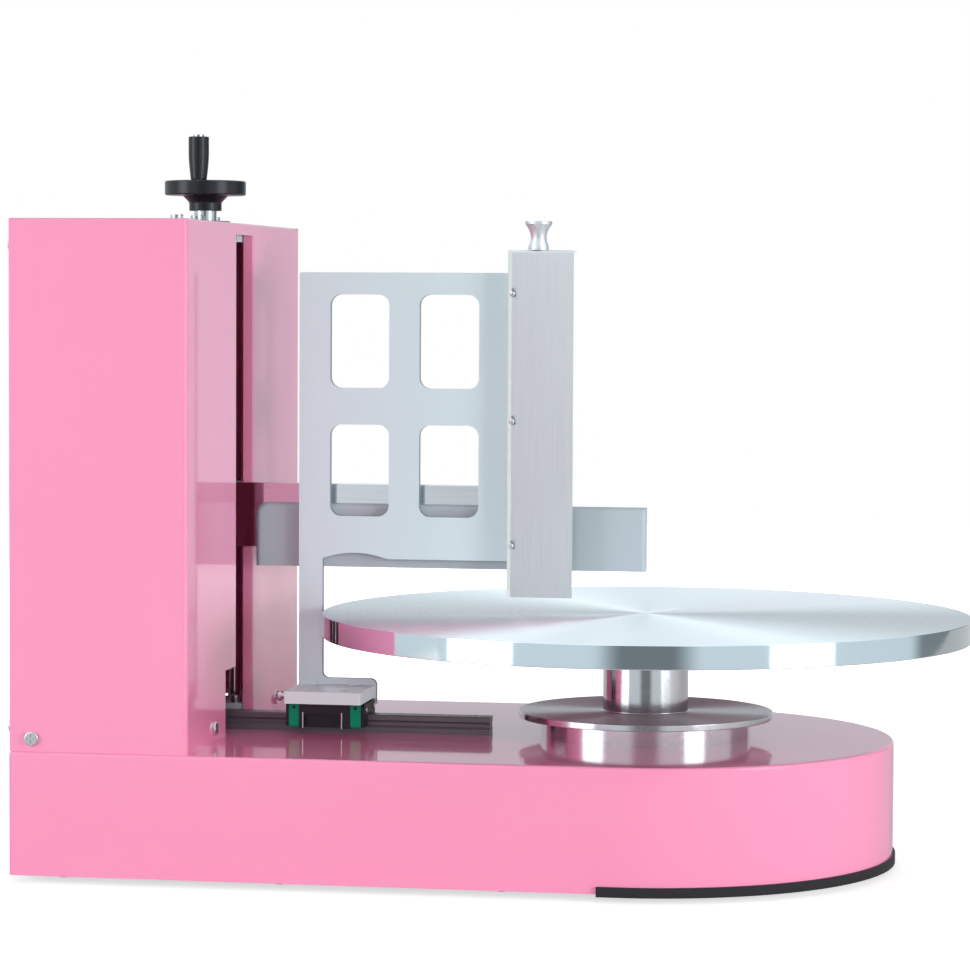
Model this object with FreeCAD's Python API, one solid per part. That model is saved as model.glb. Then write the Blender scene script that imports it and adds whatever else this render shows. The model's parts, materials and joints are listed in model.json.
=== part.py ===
import FreeCAD, Part
import math
import os

os.makedirs("parts", exist_ok=True)

# Driving dimensions in millimetres.
# Drawing datum: the turntable axis at the top face of the base, +X right, +Y to the rear.
TABLE_RADIUS = 250.0
TABLE_TOP = 94.5
TABLE_THICKNESS = 17.5
STEM_RADIUS = 32.9
FLANGE_RADIUS = 98.2
FLANGE_TOP = 19.5
FLANGE_THICKNESS = 5.0
HUB_RING_RADIUS = 81.0
HOUSING_RADIUS = 40.0
SPINDLE_RADIUS = 15.0
BASE_RADIUS = 191.0
BASE_LEFT = -452.0
BASE_HEIGHT = 92.2
FOOT_DROP = 6.0
SHEET = 2.0
COLUMN_WIDTH = 135.2
COLUMN_HALF_DEPTH = 188.5
COLUMN_HEIGHT = 394.0
LEFT_COVER = 3.0
REAR_GAP = 2.5
SLOT_FRONT = -33.0
SLOT_BACK = 24.0
SLOT_TOP = 384.9
SLOT_FLANGE = 8.0
NOTCH_FRONT = -68.0
NOTCH_HEIGHT = 50.0
RAIL_Y = -21.0
RAIL_WIDTH = 15.0
RAIL_HEIGHT = 14.0
RAIL_RIGHT = -117.5
RAIL_END_GAP = 4.0
RAIL_BOLT_PITCH = 60.0
RAIL_BOLT_COUNT = 6
BLOCK_X = -244.0
BLOCK_LENGTH = 61.4
BLOCK_WIDTH = 47.0
BLOCK_HEIGHT = 24.0
BLOCK_BOTTOM = 4.3
BLOCK_BOLTS_X = 30.0
BLOCK_BOLTS_Y = 38.0
CARRIAGE_PLATE_FRONT = -54.0
CARRIAGE_PLATE_LENGTH = 60.2
CARRIAGE_PLATE_THICKNESS = 9.5
FRAME_PLATE_FRONT = 3.0
FRAME_PLATE_THICKNESS = 6.0
FRAME_PLATE_LEFT = -274.9
FRAME_PLATE_RIGHT = -74.0
FRAME_PLATE_TOP = 356.4
FRAME_PLATE_EDGE = 132.6
FRAME_PLATE_FOOT = 18.5
FRAME_POST_RIGHT = -255.9
FRAME_FOOT_RIGHT = -212.9
FRAME_FOOT_TOP = 38.3
WINDOW_COLUMNS = ((-250.1, -203.4), (-179.3, -132.4))
WINDOW_ROWS = ((166.0, 237.6), (266.1, 339.2))
WINDOW_CORNER = 8.5
SCRAPER_FRONT = -12.0
SCRAPER_LEFT = -107.9
SCRAPER_WIDTH = 51.3
SCRAPER_BOTTOM = 105.9
SCRAPER_TOP = 373.9
SCRAPER_SHEET = 1.5
SCRAPER_PINS_Z = (145.7, 241.9, 340.1)
BLADE_LEFT = -311.5
BLADE_RIGHT = -1.8
BLADE_BOTTOM = 125.5
BLADE_TOP = 175.2
BLADE_DEPTH = 6.0
BLADE_SHEET = 1.2
BLADE_CORNER = 9.0
ARM_BOTTOM = 139.9
ARM_TOP = 190.6
ARM_RIGHT = -77.0
ARM_THICKNESS = 6.0
SCREW_X = -361.6
SCREW_Y = 48.0
SCREW_RADIUS = 8.0
ROD_RADIUS = 5.0
ROD_SPACING = 48.0
LIFT_BLOCK_DEPTH = 52.0
LIFT_BLOCK_WIDTH = 72.0
WHEEL_RADIUS = 32.3
WHEEL_TOP = 428.9
CRANK_RADIUS = 22.0
GRIP_TOP = 463.1
MOTOR_X = -165.0
MOTOR_Y = 46.0
MOTOR_RADIUS = 36.0
MOTOR_SHAFT_RADIUS = 5.0
DRIVEN_PULLEY_RADIUS = 60.0
MOTOR_PULLEY_RADIUS = 20.0
PANEL_Z = -46.0
INLET_X = -390.0
SWITCH_X = -330.0
KNOB_X = -270.0
SWITCH_TILT = 8.0
DIAL_SWEEP = 300.0

# Fits and working gaps.
RUNNING = 0.05
TURNING_GAP = 0.3
BLADE_GAP = 1.0
FLANGE_GAP = 0.5
SINK_CLEARANCE = 0.2
TOUCHING = 0.05
SHORTEST_EDGE = 0.5
LINE_WIDTH = 0.001

# Sizes that follow from the driving ones.
COVER_HEAD = 2.5
COLUMN_RIGHT = BASE_LEFT + COLUMN_WIDTH
COLUMN_LEFT = BASE_LEFT + LEFT_COVER
TABLE_BOTTOM = TABLE_TOP - TABLE_THICKNESS
FLANGE_BOTTOM = FLANGE_TOP - FLANGE_THICKNESS
BASE_BOTTOM = -BASE_HEIGHT
FRAME_PLATE_BACK = FRAME_PLATE_FRONT + FRAME_PLATE_THICKNESS
BLADE_FRONT = FRAME_PLATE_BACK + BLADE_GAP
ARM_FRONT = BLADE_FRONT + BLADE_DEPTH
ARM_BACK = ARM_FRONT + ARM_THICKNESS
LIFT_LEFT = SCREW_X - LIFT_BLOCK_WIDTH / 2
LIFT_RIGHT = SCREW_X + LIFT_BLOCK_WIDTH / 2
LIFT_BACK = ARM_BACK + LIFT_BLOCK_DEPTH
CARRIAGE_PLATE_TOP = BLOCK_HEIGHT + CARRIAGE_PLATE_THICKNESS
CARRIAGE_PLATE_LEFT = BLOCK_X - CARRIAGE_PLATE_LENGTH / 2
CARRIAGE_PLATE_RIGHT = BLOCK_X + CARRIAGE_PLATE_LENGTH / 2
SCRAPER_RIGHT = SCRAPER_LEFT + SCRAPER_WIDTH
RAIL_LEFT = COLUMN_LEFT + RAIL_END_GAP
TABLE_X = -(BASE_LEFT - COVER_HEAD + TABLE_RADIUS) / 2
BASE_TOP = BASE_HEIGHT + FOOT_DROP


def vec(x, y, z):
    return FreeCAD.Vector(x, y, z)


DATUM = vec(TABLE_X, 0, BASE_TOP)
UP = vec(0, 0, 1)
DOWN = vec(0, 0, -1)
RIGHT = vec(1, 0, 0)
LEFT = vec(-1, 0, 0)
REARWARD = vec(0, 1, 0)
FORWARD = vec(0, -1, 0)


def save(node, shapes):
    """Move a finished piece, or a group of them, from the datum to the part's frame."""
    shape = Part.makeCompound(shapes) if isinstance(shapes, list) else shapes.copy()
    shape.translate(DATUM)
    shape.exportStep("parts/" + node + ".step")


def box(x0, x1, y0, y1, z0, z1):
    return Part.makeBox(x1 - x0, y1 - y0, z1 - z0, vec(x0, y0, z0))


def rod(at, axis, radius, length):
    return Part.makeCylinder(radius, length, at, axis)


def upright(x, y, z0, z1, radius):
    return rod(vec(x, y, z0), UP, radius, z1 - z0)


def prism(points, travel):
    """A flat outline pushed along a vector."""
    return Part.Face(Part.makePolygon(points + [points[0]])).extrude(travel)


def turned(x, y, profile):
    """A profile of (radius, height) points turned about an upright axis."""
    points = [vec(x + r, y, z) for r, z in profile]
    face = Part.Face(Part.makePolygon(points + [points[0]]))
    return face.revolve(vec(x, y, 0), UP, 360)


def joined(shapes):
    return shapes[0].fuse(shapes[1:]).removeSplitter()


def rounded(shape, radius, chosen):
    """Fillet the edges for which chosen(edge) holds."""
    return shape.makeFillet(radius, [edge for edge in shape.Edges if chosen(edge)])


def near(value, target):
    return abs(value - target) < TOUCHING


def runs(edge, axis):
    """True for a straight edge that runs along the axis named x, y or z."""
    size = edge.BoundBox
    lengths = {"x": size.XLength, "y": size.YLength, "z": size.ZLength}
    along = lengths.pop(axis)
    return along > SHORTEST_EDGE and max(lengths.values()) < LINE_WIDTH


def aimed(shape, at, axis):
    """Carry a shape drawn along +Z from the origin to a point and a direction."""
    placed = shape.copy()
    placed.Placement = FreeCAD.Placement(at, FreeCAD.Rotation(UP, axis))
    return placed


def hexagon(across, z0, z1):
    reach = across / math.sqrt(3)
    angles = [math.radians(60 * step) for step in range(6)]
    corners = [vec(reach * math.cos(a), reach * math.sin(a), z0) for a in angles]
    return prism(corners, vec(0, 0, z1 - z0))


def pan_screw(at, axis, radius, height, shank, length):
    """A cross-recessed pan-head screw, its head outwards along the axis."""
    crown = 0.45 * height
    head = Part.makeCylinder(radius, height)
    head = rounded(head, crown, lambda e: near(e.BoundBox.ZMin, height))
    wing = 0.62 * radius
    half = 0.12 * radius
    depth = 0.5 * height
    slot = Part.makeBox(2 * wing, 2 * half, depth, vec(-wing, -half, height - depth))
    cross = Part.makeBox(2 * half, 2 * wing, depth, vec(-half, -wing, height - depth))
    stem = Part.makeCylinder(shank, length, vec(0, 0, -length))
    return aimed(joined([head.cut([slot, cross]), stem]), at, axis)


def cap_screw(at, axis, radius, height, shank, length):
    """A socket-head screw, its head outwards along the axis."""
    edge_break = 0.1 * radius
    socket_floor = 0.45 * height
    head = Part.makeCylinder(radius, height)
    head = rounded(head, edge_break, lambda e: near(e.BoundBox.ZMin, height))
    socket = hexagon(radius, socket_floor, height)
    stem = Part.makeCylinder(shank, length, vec(0, 0, -length))
    return aimed(joined([head.cut(socket), stem]), at, axis)


def shank_holes(places, shank, length):
    return [rod(at, axis * -1, shank, length) for at, axis in places]


def round_end(left, radius, z0, z1):
    """A plate with a flat left end and a half-round right end about the turntable axis."""
    start = vec(0, -radius, z0)
    finish = vec(0, radius, z0)
    edges = [
        Part.LineSegment(vec(left, -radius, z0), start),
        Part.Arc(start, vec(radius, 0, z0), finish),
        Part.LineSegment(finish, vec(left, radius, z0)),
        Part.LineSegment(vec(left, radius, z0), vec(left, -radius, z0)),
    ]
    wire = Part.Wire([edge.toShape() for edge in edges])
    return Part.Face(wire).extrude(vec(0, 0, z1 - z0))


def base_outline(inset, z0, z1):
    return round_end(BASE_LEFT + inset, BASE_RADIUS - inset, z0, z1)


def belt_loop(grow, z0, z1):
    """The closed outline round both pulleys, moved outwards by grow."""
    big = DRIVEN_PULLEY_RADIUS + grow
    small = MOTOR_PULLEY_RADIUS + grow
    span = math.hypot(MOTOR_X, MOTOR_Y)
    heading = math.atan2(MOTOR_Y, MOTOR_X)
    swing = math.acos((big - small) / span)
    corners = []
    for x, y, radius, sides in ((0, 0, big, (1, -1)), (MOTOR_X, MOTOR_Y, small, (-1, 1))):
        for side in sides:
            angle = heading + side * swing
            corners.append(vec(x + radius * math.cos(angle), y + radius * math.sin(angle), z0))
    band = prism(corners, vec(0, 0, z1 - z0))
    return joined([band, upright(0, 0, z0, z1, big), upright(MOTOR_X, MOTOR_Y, z0, z1, small)])


# Fastener sizes and places that several pieces share.
M4 = 2.0
M5 = 2.5
M6 = 3.0
PAN_HEAD = 5.4
SOCKET_HEAD = 3.6
SOCKET_HEIGHT = 4.0
SOCKET_SINK = SOCKET_HEIGHT + SINK_CLEARANCE
QUARTERS = [math.radians(45 + 90 * step) for step in range(4)]
COVER_SCREW_LENGTH = 8.0
COVER_ROWS = (18.0, 375.3)
COVER_INSET = 10.0
LEFT_COVER_SCREWS = [
    (vec(BASE_LEFT, side * (COLUMN_HALF_DEPTH - COVER_INSET), z), LEFT)
    for side in (-1, 1) for z in COVER_ROWS
]
REAR_COVER_SCREWS = [
    (vec(COLUMN_RIGHT - COVER_INSET, COLUMN_HALF_DEPTH, z), REARWARD) for z in COVER_ROWS
]
LUG_HEIGHT = 20.0
LUG_HALF_WIDTH = 11.0
LUG_SCREW_Z = 9.6
LUG_SIDE_Y = 105.1
LUG_FRONT_X = -434.9
LUG_SCREWS = [
    (vec(LUG_FRONT_X, -COLUMN_HALF_DEPTH, LUG_SCREW_Z), FORWARD),
    (vec(COLUMN_RIGHT, -LUG_SIDE_Y, LUG_SCREW_Z), RIGHT),
    (vec(COLUMN_RIGHT, LUG_SIDE_Y, LUG_SCREW_Z), RIGHT),
]
BEARING_REACH = 28.0
BEARING_PLATE = 3.0
BEARING_BOLTS = [
    (vec(SCREW_X, SCREW_Y + side * BEARING_REACH, COLUMN_HEIGHT + BEARING_PLATE), UP)
    for side in (-1, 1)
]
WASHER = 1.6
TOP_BOLT_OFFSET = 14.2
TOP_BOLT_X = SCREW_X - TOP_BOLT_OFFSET
TOP_BOLT_REACH = 36.0
TOP_BOLTS = [
    (vec(TOP_BOLT_X, SCREW_Y + side * TOP_BOLT_REACH, COLUMN_HEIGHT + WASHER), UP)
    for side in (-1, 1)
]
BRACKET_BOLT_LENGTH = 14.0
FLOOR_BRACKET_HEIGHT = 14.0
FLOOR_BOLT_INSET = 6.5
TOP_BRACKET_BOTTOM = 380.0
FLOOR_BOLTS = [
    (vec(x, y, FLOOR_BRACKET_HEIGHT), UP)
    for x in (LIFT_LEFT + FLOOR_BOLT_INSET, LIFT_RIGHT - FLOOR_BOLT_INSET)
    for y in (ARM_BACK + FLOOR_BOLT_INSET, LIFT_BACK - FLOOR_BOLT_INSET)
]
FLOOR_BOLT_LENGTH = FLOOR_BRACKET_HEIGHT + SHEET
ROD_X = (SCREW_X - ROD_SPACING / 2, SCREW_X + ROD_SPACING / 2)
JOURNAL = 6.0
LOWER_JOURNAL = 5.0
BOTTOM_PLATE_RISE = 1.2
BOTTOM_PLATE_Z = BASE_BOTTOM + BOTTOM_PLATE_RISE
BASE_FLANGE_Z = BOTTOM_PLATE_Z + SHEET
BASE_FLANGE_WIDTH = 14.0
PLATE_SCREW_INSET = 9.0
PLATE_SCREW_X = (-412.0, -248.0, -83.4)
PLATE_SCREWS = [
    (vec(x, side * (BASE_RADIUS - PLATE_SCREW_INSET), BOTTOM_PLATE_Z), DOWN)
    for x in PLATE_SCREW_X for side in (-1, 1)
]
PLATE_SCREWS.append((vec(BASE_RADIUS - PLATE_SCREW_INSET, 0, BOTTOM_PLATE_Z), DOWN))
PLATE_SCREW_LENGTH = 6.0
FOOT_PAIRS = ((-408.0, 138.0), (62.0, 122.0))
FOOT_PLACES = [(x, side * y) for x, y in FOOT_PAIRS for side in (-1, 1)]
HUB_RING_TOP = FLANGE_BOTTOM - FLANGE_GAP
HUB_BOLT_CIRCLE = 62.0
HUB_BOLT_Z = HUB_RING_TOP - SOCKET_SINK
HUB_BOLT_TAIL = 2.0
HUB_BOLT_LENGTH = HUB_BOLT_Z + SHEET + HUB_BOLT_TAIL
HUB_BOLTS = [
    (vec(HUB_BOLT_CIRCLE * math.cos(a), HUB_BOLT_CIRCLE * math.sin(a), HUB_BOLT_Z), UP)
    for a in QUARTERS
]
RAIL_END = 12.0
RAIL_BOLT_Z = RAIL_HEIGHT - SOCKET_SINK
RAIL_BOLT_TAIL = 3.0
RAIL_BOLT_LENGTH = RAIL_BOLT_Z + SHEET + RAIL_BOLT_TAIL
RAIL_BOLTS = [
    (vec(RAIL_RIGHT - RAIL_END - RAIL_BOLT_PITCH * step, RAIL_Y, RAIL_BOLT_Z), UP)
    for step in range(RAIL_BOLT_COUNT)
]
MOTOR_FACE = -48.0
MOTOR_PLATE = 3.0
MOTOR_BOLT_CIRCLE = 27.0
MOTOR_BOLT_LENGTH = 9.0
MOTOR_BOLTS = [
    (vec(MOTOR_X + MOTOR_BOLT_CIRCLE * math.cos(a), MOTOR_Y + MOTOR_BOLT_CIRCLE * math.sin(a),
         MOTOR_FACE - MOTOR_PLATE), DOWN)
    for a in QUARTERS
]
FOOT_BOLT_REACH = 25.0
FOOT_BOLT_Z = 28.6
FOOT_BOLT_GRIP = 6.0
FOOT_BOLT_LENGTH = FRAME_PLATE_THICKNESS + FOOT_BOLT_GRIP
FOOT_BOLTS = [
    (vec(BLOCK_X + side * FOOT_BOLT_REACH, FRAME_PLATE_BACK, FOOT_BOLT_Z), REARWARD)
    for side in (-1, 1)
]
SCRAPER_BAR_LEFT = SCRAPER_LEFT + SCRAPER_SHEET
SCRAPER_BAR_WIDTH = 14.0
BAR_BOLT_GRIP = 8.0
BAR_BOLT_LENGTH = FRAME_PLATE_THICKNESS - SOCKET_SINK + BAR_BOLT_GRIP
BAR_BOLTS_Z = (165.0, 240.0, 325.0)
BAR_BOLTS = [
    (vec(SCRAPER_BAR_LEFT + SCRAPER_BAR_WIDTH / 2, FRAME_PLATE_BACK - SOCKET_SINK, z), REARWARD)
    for z in BAR_BOLTS_Z
]
INLET_HALF_X = 14.0
INLET_HALF_Z = 10.0
SWITCH_HALF_X = 10.5
SWITCH_HALF_Z = 15.0
POT_BUSH = 4.5
POT_SHAFT = 3.0


def socket_bolts(places, length):
    return [cap_screw(at, axis, SOCKET_HEAD, SOCKET_HEIGHT, M4, length) for at, axis in places]


def sinks(places, radius, depth):
    return [rod(at, axis, radius, depth) for at, axis in places]


def base_bolts():
    """The alike socket-head bolts that hold the hub, the rail and the motor."""
    bolts = socket_bolts(HUB_BOLTS, HUB_BOLT_LENGTH)
    bolts += socket_bolts(RAIL_BOLTS, RAIL_BOLT_LENGTH)
    bolts += socket_bolts(MOTOR_BOLTS, MOTOR_BOLT_LENGTH)
    save("base_bolts", bolts)


def carriage_bolts():
    """The alike socket-head bolts of the frame plate's foot and the scraper's bar."""
    bolts = socket_bolts(FOOT_BOLTS, FOOT_BOLT_LENGTH)
    bolts += socket_bolts(BAR_BOLTS, BAR_BOLT_LENGTH)
    save("carriage_bolts", bolts)


def base_pieces():
    """The folded base, its bottom plate, feet and rubber edge trim."""
    top_round = 2.5
    corner_round = 3.0
    shell = base_outline(0, BASE_BOTTOM, 0)
    shell = rounded(shell, corner_round, lambda e: runs(e, "z") and near(e.BoundBox.XMin, BASE_LEFT))
    shell = rounded(shell, top_round, lambda e: near(e.BoundBox.ZMin, 0))
    shell = shell.cut(base_outline(SHEET, BASE_BOTTOM, -SHEET))
    lip = base_outline(SHEET, BASE_FLANGE_Z, BASE_FLANGE_Z + SHEET)
    lip = lip.cut(base_outline(BASE_FLANGE_WIDTH, BASE_FLANGE_Z, BASE_FLANGE_Z + SHEET))
    shell = joined([shell, lip])
    wall = BASE_RADIUS - SHEET
    holes = [upright(0, 0, -SHEET, 0, HOUSING_RADIUS)]
    holes += shank_holes(RAIL_BOLTS, M4, RAIL_BOLT_LENGTH)
    holes += shank_holes(HUB_BOLTS, M4, HUB_BOLT_LENGTH)
    holes += shank_holes(FLOOR_BOLTS, M6, FLOOR_BOLT_LENGTH)
    holes += shank_holes(PLATE_SCREWS, M4, PLATE_SCREW_LENGTH)
    holes.append(box(INLET_X - INLET_HALF_X, INLET_X + INLET_HALF_X, wall, BASE_RADIUS,
                     PANEL_Z - INLET_HALF_Z, PANEL_Z + INLET_HALF_Z))
    holes.append(box(SWITCH_X - SWITCH_HALF_X, SWITCH_X + SWITCH_HALF_X, wall, BASE_RADIUS,
                     PANEL_Z - SWITCH_HALF_Z, PANEL_Z + SWITCH_HALF_Z))
    holes.append(rod(vec(KNOB_X, wall, PANEL_Z), REARWARD, POT_BUSH, SHEET))
    save("base_shell", shell.cut(holes))

    plate_gap = 0.6
    head_radius = 3.6
    head_height = 2.8
    plate = base_outline(SHEET + plate_gap, BOTTOM_PLATE_Z, BASE_FLANGE_Z)
    plate_holes = [upright(x, y, BOTTOM_PLATE_Z, BASE_FLANGE_Z, M4) for x, y in FOOT_PLACES]
    plate_holes += shank_holes(PLATE_SCREWS, M4, PLATE_SCREW_LENGTH)
    save("bottom_plate", plate.cut(plate_holes))
    screws = [
        pan_screw(at, axis, head_radius, head_height, M4, PLATE_SCREW_LENGTH) for at, axis in PLATE_SCREWS
    ]

    floor = -BASE_TOP
    foot_radius = 16.0
    foot_ease = 2.0
    well_radius = 5.0
    well_top = floor + 3.5
    foot_screw_tail = 3.0
    foot_screw_length = BASE_FLANGE_Z + foot_screw_tail - well_top
    feet = []
    for x, y in FOOT_PLACES:
        feet.append(turned(x, y, [
            (M4, well_top), (well_radius, well_top), (well_radius, floor), (foot_radius - foot_ease, floor),
            (foot_radius, floor + foot_ease), (foot_radius, BOTTOM_PLATE_Z), (M4, BOTTOM_PLATE_Z),
        ]))
        screws.append(pan_screw(vec(x, y, well_top), DOWN, head_radius, head_height, M4, foot_screw_length))
    save("rubber_feet", feet)
    save("bottom_screws", screws)

    trim_left = -13.0
    trim_low = BASE_BOTTOM - 1.8
    trim_high = BASE_BOTTOM + 5.6
    trim_proud = 2.0
    trim_lip = 4.0
    trim = round_end(trim_left, BASE_RADIUS + trim_proud, trim_low, trim_high)
    trim = trim.cut([
        round_end(trim_left, BASE_RADIUS, BASE_BOTTOM, trim_high),
        round_end(trim_left, BASE_RADIUS - trim_lip, trim_low, BASE_BOTTOM),
    ])
    save("edge_trim", trim)


def column_pieces():
    """The column's front and side shell, its covers, lugs and their screws."""
    front = -COLUMN_HALF_DEPTH
    back = COLUMN_HALF_DEPTH
    top = COLUMN_HEIGHT
    flange = 20.0
    shell = box(COLUMN_LEFT, COLUMN_RIGHT, front, back - SHEET, 0, top)
    corner_round = 3.5
    top_round = 2.0
    slot_round = 1.6
    shell = rounded(shell, corner_round, lambda e: runs(e, "z") and near(e.BoundBox.XMin, COLUMN_RIGHT)
                    and near(e.BoundBox.YMin, front))
    shell = rounded(shell, top_round, lambda e: near(e.BoundBox.ZMin, top)
                    and (e.BoundBox.YMin < back - 2 * SHEET) and (e.BoundBox.XMax > COLUMN_LEFT + SHEET))
    shell = shell.cut(box(COLUMN_LEFT, COLUMN_RIGHT - SHEET, front + SHEET, back, 0, top - SHEET))
    folds = [
        box(COLUMN_LEFT, COLUMN_LEFT + SHEET, front + SHEET, front + flange, 0, top - SHEET),
        box(COLUMN_RIGHT - flange, COLUMN_RIGHT - SHEET, back - 2 * SHEET, back - SHEET, 0, top - SHEET),
    ]
    shell = joined([shell] + folds)
    wall = COLUMN_RIGHT - SHEET
    shell = shell.cut([
        box(wall, COLUMN_RIGHT, SLOT_FRONT, SLOT_BACK, 0, SLOT_TOP),
        box(wall, COLUMN_RIGHT, NOTCH_FRONT, SLOT_FRONT, 0, NOTCH_HEIGHT),
    ])
    inward = COLUMN_RIGHT - SLOT_FLANGE
    shell = joined([
        shell,
        box(inward, COLUMN_RIGHT, SLOT_FRONT - SHEET, SLOT_FRONT, NOTCH_HEIGHT, SLOT_TOP),
        box(inward, COLUMN_RIGHT, SLOT_BACK, SLOT_BACK + SHEET, 0, SLOT_TOP),
    ])
    shell = rounded(shell, slot_round, lambda e: runs(e, "z") and near(e.BoundBox.XMin, COLUMN_RIGHT)
                    and (near(e.BoundBox.YMin, SLOT_BACK) or near(e.BoundBox.YMin, SLOT_FRONT)))
    screw_clearance = 4.0
    holes = [upright(SCREW_X, SCREW_Y, top - SHEET, top, JOURNAL + screw_clearance)]
    holes += shank_holes(BEARING_BOLTS + TOP_BOLTS, M6, BRACKET_BOLT_LENGTH)
    holes += shank_holes(LUG_SCREWS + LEFT_COVER_SCREWS + REAR_COVER_SCREWS, M5, COVER_SCREW_LENGTH)
    save("column_shell", shell.cut(holes))

    left_cover = box(BASE_LEFT, COLUMN_LEFT, front, back, 0, top)
    cover_round = 1.0
    left_cover = rounded(left_cover, cover_round, lambda e: near(e.BoundBox.XMin, BASE_LEFT)
                         and near(e.BoundBox.XMax, BASE_LEFT))
    save("column_left_cover", left_cover.cut(shank_holes(LEFT_COVER_SCREWS, M5, COVER_SCREW_LENGTH)))

    rear_cover = joined([
        box(COLUMN_LEFT, COLUMN_RIGHT, back - SHEET, back, REAR_GAP, top),
        box(COLUMN_LEFT, COLUMN_LEFT + SHEET, back - flange, back - SHEET, REAR_GAP, top - SHEET),
    ])
    holes = shank_holes(LEFT_COVER_SCREWS + REAR_COVER_SCREWS, M5, COVER_SCREW_LENGTH)
    save("column_rear_cover", rear_cover.cut(holes))

    screws = LUG_SCREWS + LEFT_COVER_SCREWS + REAR_COVER_SCREWS
    save("cover_screws", [
        pan_screw(at, axis, PAN_HEAD, COVER_HEAD, M5, COVER_SCREW_LENGTH) for at, axis in screws
    ])

    leg = front + SHEET
    lugs = [joined([
        box(LUG_FRONT_X - LUG_HALF_WIDTH, LUG_FRONT_X + LUG_HALF_WIDTH, leg, leg + SHEET, 0, LUG_HEIGHT),
        box(LUG_FRONT_X - LUG_HALF_WIDTH, LUG_FRONT_X + LUG_HALF_WIDTH, leg, leg + LUG_HEIGHT, 0, SHEET),
    ])]
    for side in (-1, 1):
        y0 = side * LUG_SIDE_Y - LUG_HALF_WIDTH
        y1 = side * LUG_SIDE_Y + LUG_HALF_WIDTH
        lugs.append(joined([
            box(wall - SHEET, wall, y0, y1, 0, LUG_HEIGHT),
            box(wall - LUG_HEIGHT, wall, y0, y1, 0, SHEET),
        ]))
    lug_holes = shank_holes(LUG_SCREWS, M5, COVER_SCREW_LENGTH)
    save("column_lugs", [lug.cut(lug_holes) for lug in lugs])


def lift_frame_pieces():
    """The fixed half of the lift: brackets, guide rods and the top bearing plate."""
    floor_bracket = box(LIFT_LEFT, LIFT_RIGHT, ARM_BACK, LIFT_BACK, 0, FLOOR_BRACKET_HEIGHT)
    rod_low = 2.0
    rod_high = COLUMN_HEIGHT - SHEET - rod_low
    sockets = [upright(x, SCREW_Y, rod_low, FLOOR_BRACKET_HEIGHT, ROD_RADIUS) for x in ROD_X]
    sockets.append(upright(SCREW_X, SCREW_Y, rod_low, FLOOR_BRACKET_HEIGHT, LOWER_JOURNAL + RUNNING))
    sockets += shank_holes(FLOOR_BOLTS, M6, FLOOR_BOLT_LENGTH)
    save("floor_bracket", floor_bracket.cut(sockets))

    under_top = COLUMN_HEIGHT - SHEET
    half_depth = 44.0
    top_bracket = box(LIFT_LEFT, LIFT_RIGHT, SCREW_Y - half_depth, SCREW_Y + half_depth,
                      TOP_BRACKET_BOTTOM, under_top)
    sockets = [upright(x, SCREW_Y, TOP_BRACKET_BOTTOM, rod_high, ROD_RADIUS) for x in ROD_X]
    sockets.append(upright(SCREW_X, SCREW_Y, TOP_BRACKET_BOTTOM, under_top, JOURNAL + RUNNING))
    sockets += shank_holes(BEARING_BOLTS + TOP_BOLTS, M6, BRACKET_BOLT_LENGTH)
    save("top_bracket", top_bracket.cut(sockets))
    save("guide_rods", [upright(x, SCREW_Y, rod_low, rod_high, ROD_RADIUS) for x in ROD_X])

    middle = 20.0
    end = 9.0
    slope = math.asin((middle - end) / BEARING_REACH)
    z0 = COLUMN_HEIGHT
    z1 = z0 + BEARING_PLATE
    lobes = [upright(SCREW_X, SCREW_Y, z0, z1, middle)]
    for side in (-1, 1):
        rise = side * math.sin(slope)
        reach = math.cos(slope)
        far = SCREW_Y + side * BEARING_REACH
        lobes.append(upright(SCREW_X, far, z0, z1, end))
        lobes.append(prism([
            vec(SCREW_X - middle * reach, SCREW_Y + middle * rise, z0),
            vec(SCREW_X + middle * reach, SCREW_Y + middle * rise, z0),
            vec(SCREW_X + end * reach, far + end * rise, z0),
            vec(SCREW_X - end * reach, far + end * rise, z0),
        ], vec(0, 0, BEARING_PLATE)))
    bearing = joined(lobes).cut(upright(SCREW_X, SCREW_Y, z0, z1, JOURNAL + RUNNING))
    save("screw_bearing", bearing.cut(shank_holes(BEARING_BOLTS, M6, BRACKET_BOLT_LENGTH)))
    head_radius = 5.0
    low_head = 4.0
    full_head = 6.0
    washer_radius = 6.2
    length = BRACKET_BOLT_LENGTH
    bolts = [cap_screw(at, axis, head_radius, low_head, M6, length) for at, axis in BEARING_BOLTS]
    bolts += [cap_screw(at, axis, head_radius, full_head, M6, FLOOR_BOLT_LENGTH) for at, axis in FLOOR_BOLTS]
    for at, axis in TOP_BOLTS:
        washer = upright(at.x, at.y, COLUMN_HEIGHT, COLUMN_HEIGHT + WASHER, washer_radius)
        bolts.append(joined([cap_screw(at, axis, head_radius, full_head, M6, length), washer]))
    save("lift_bolts", bolts)


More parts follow.
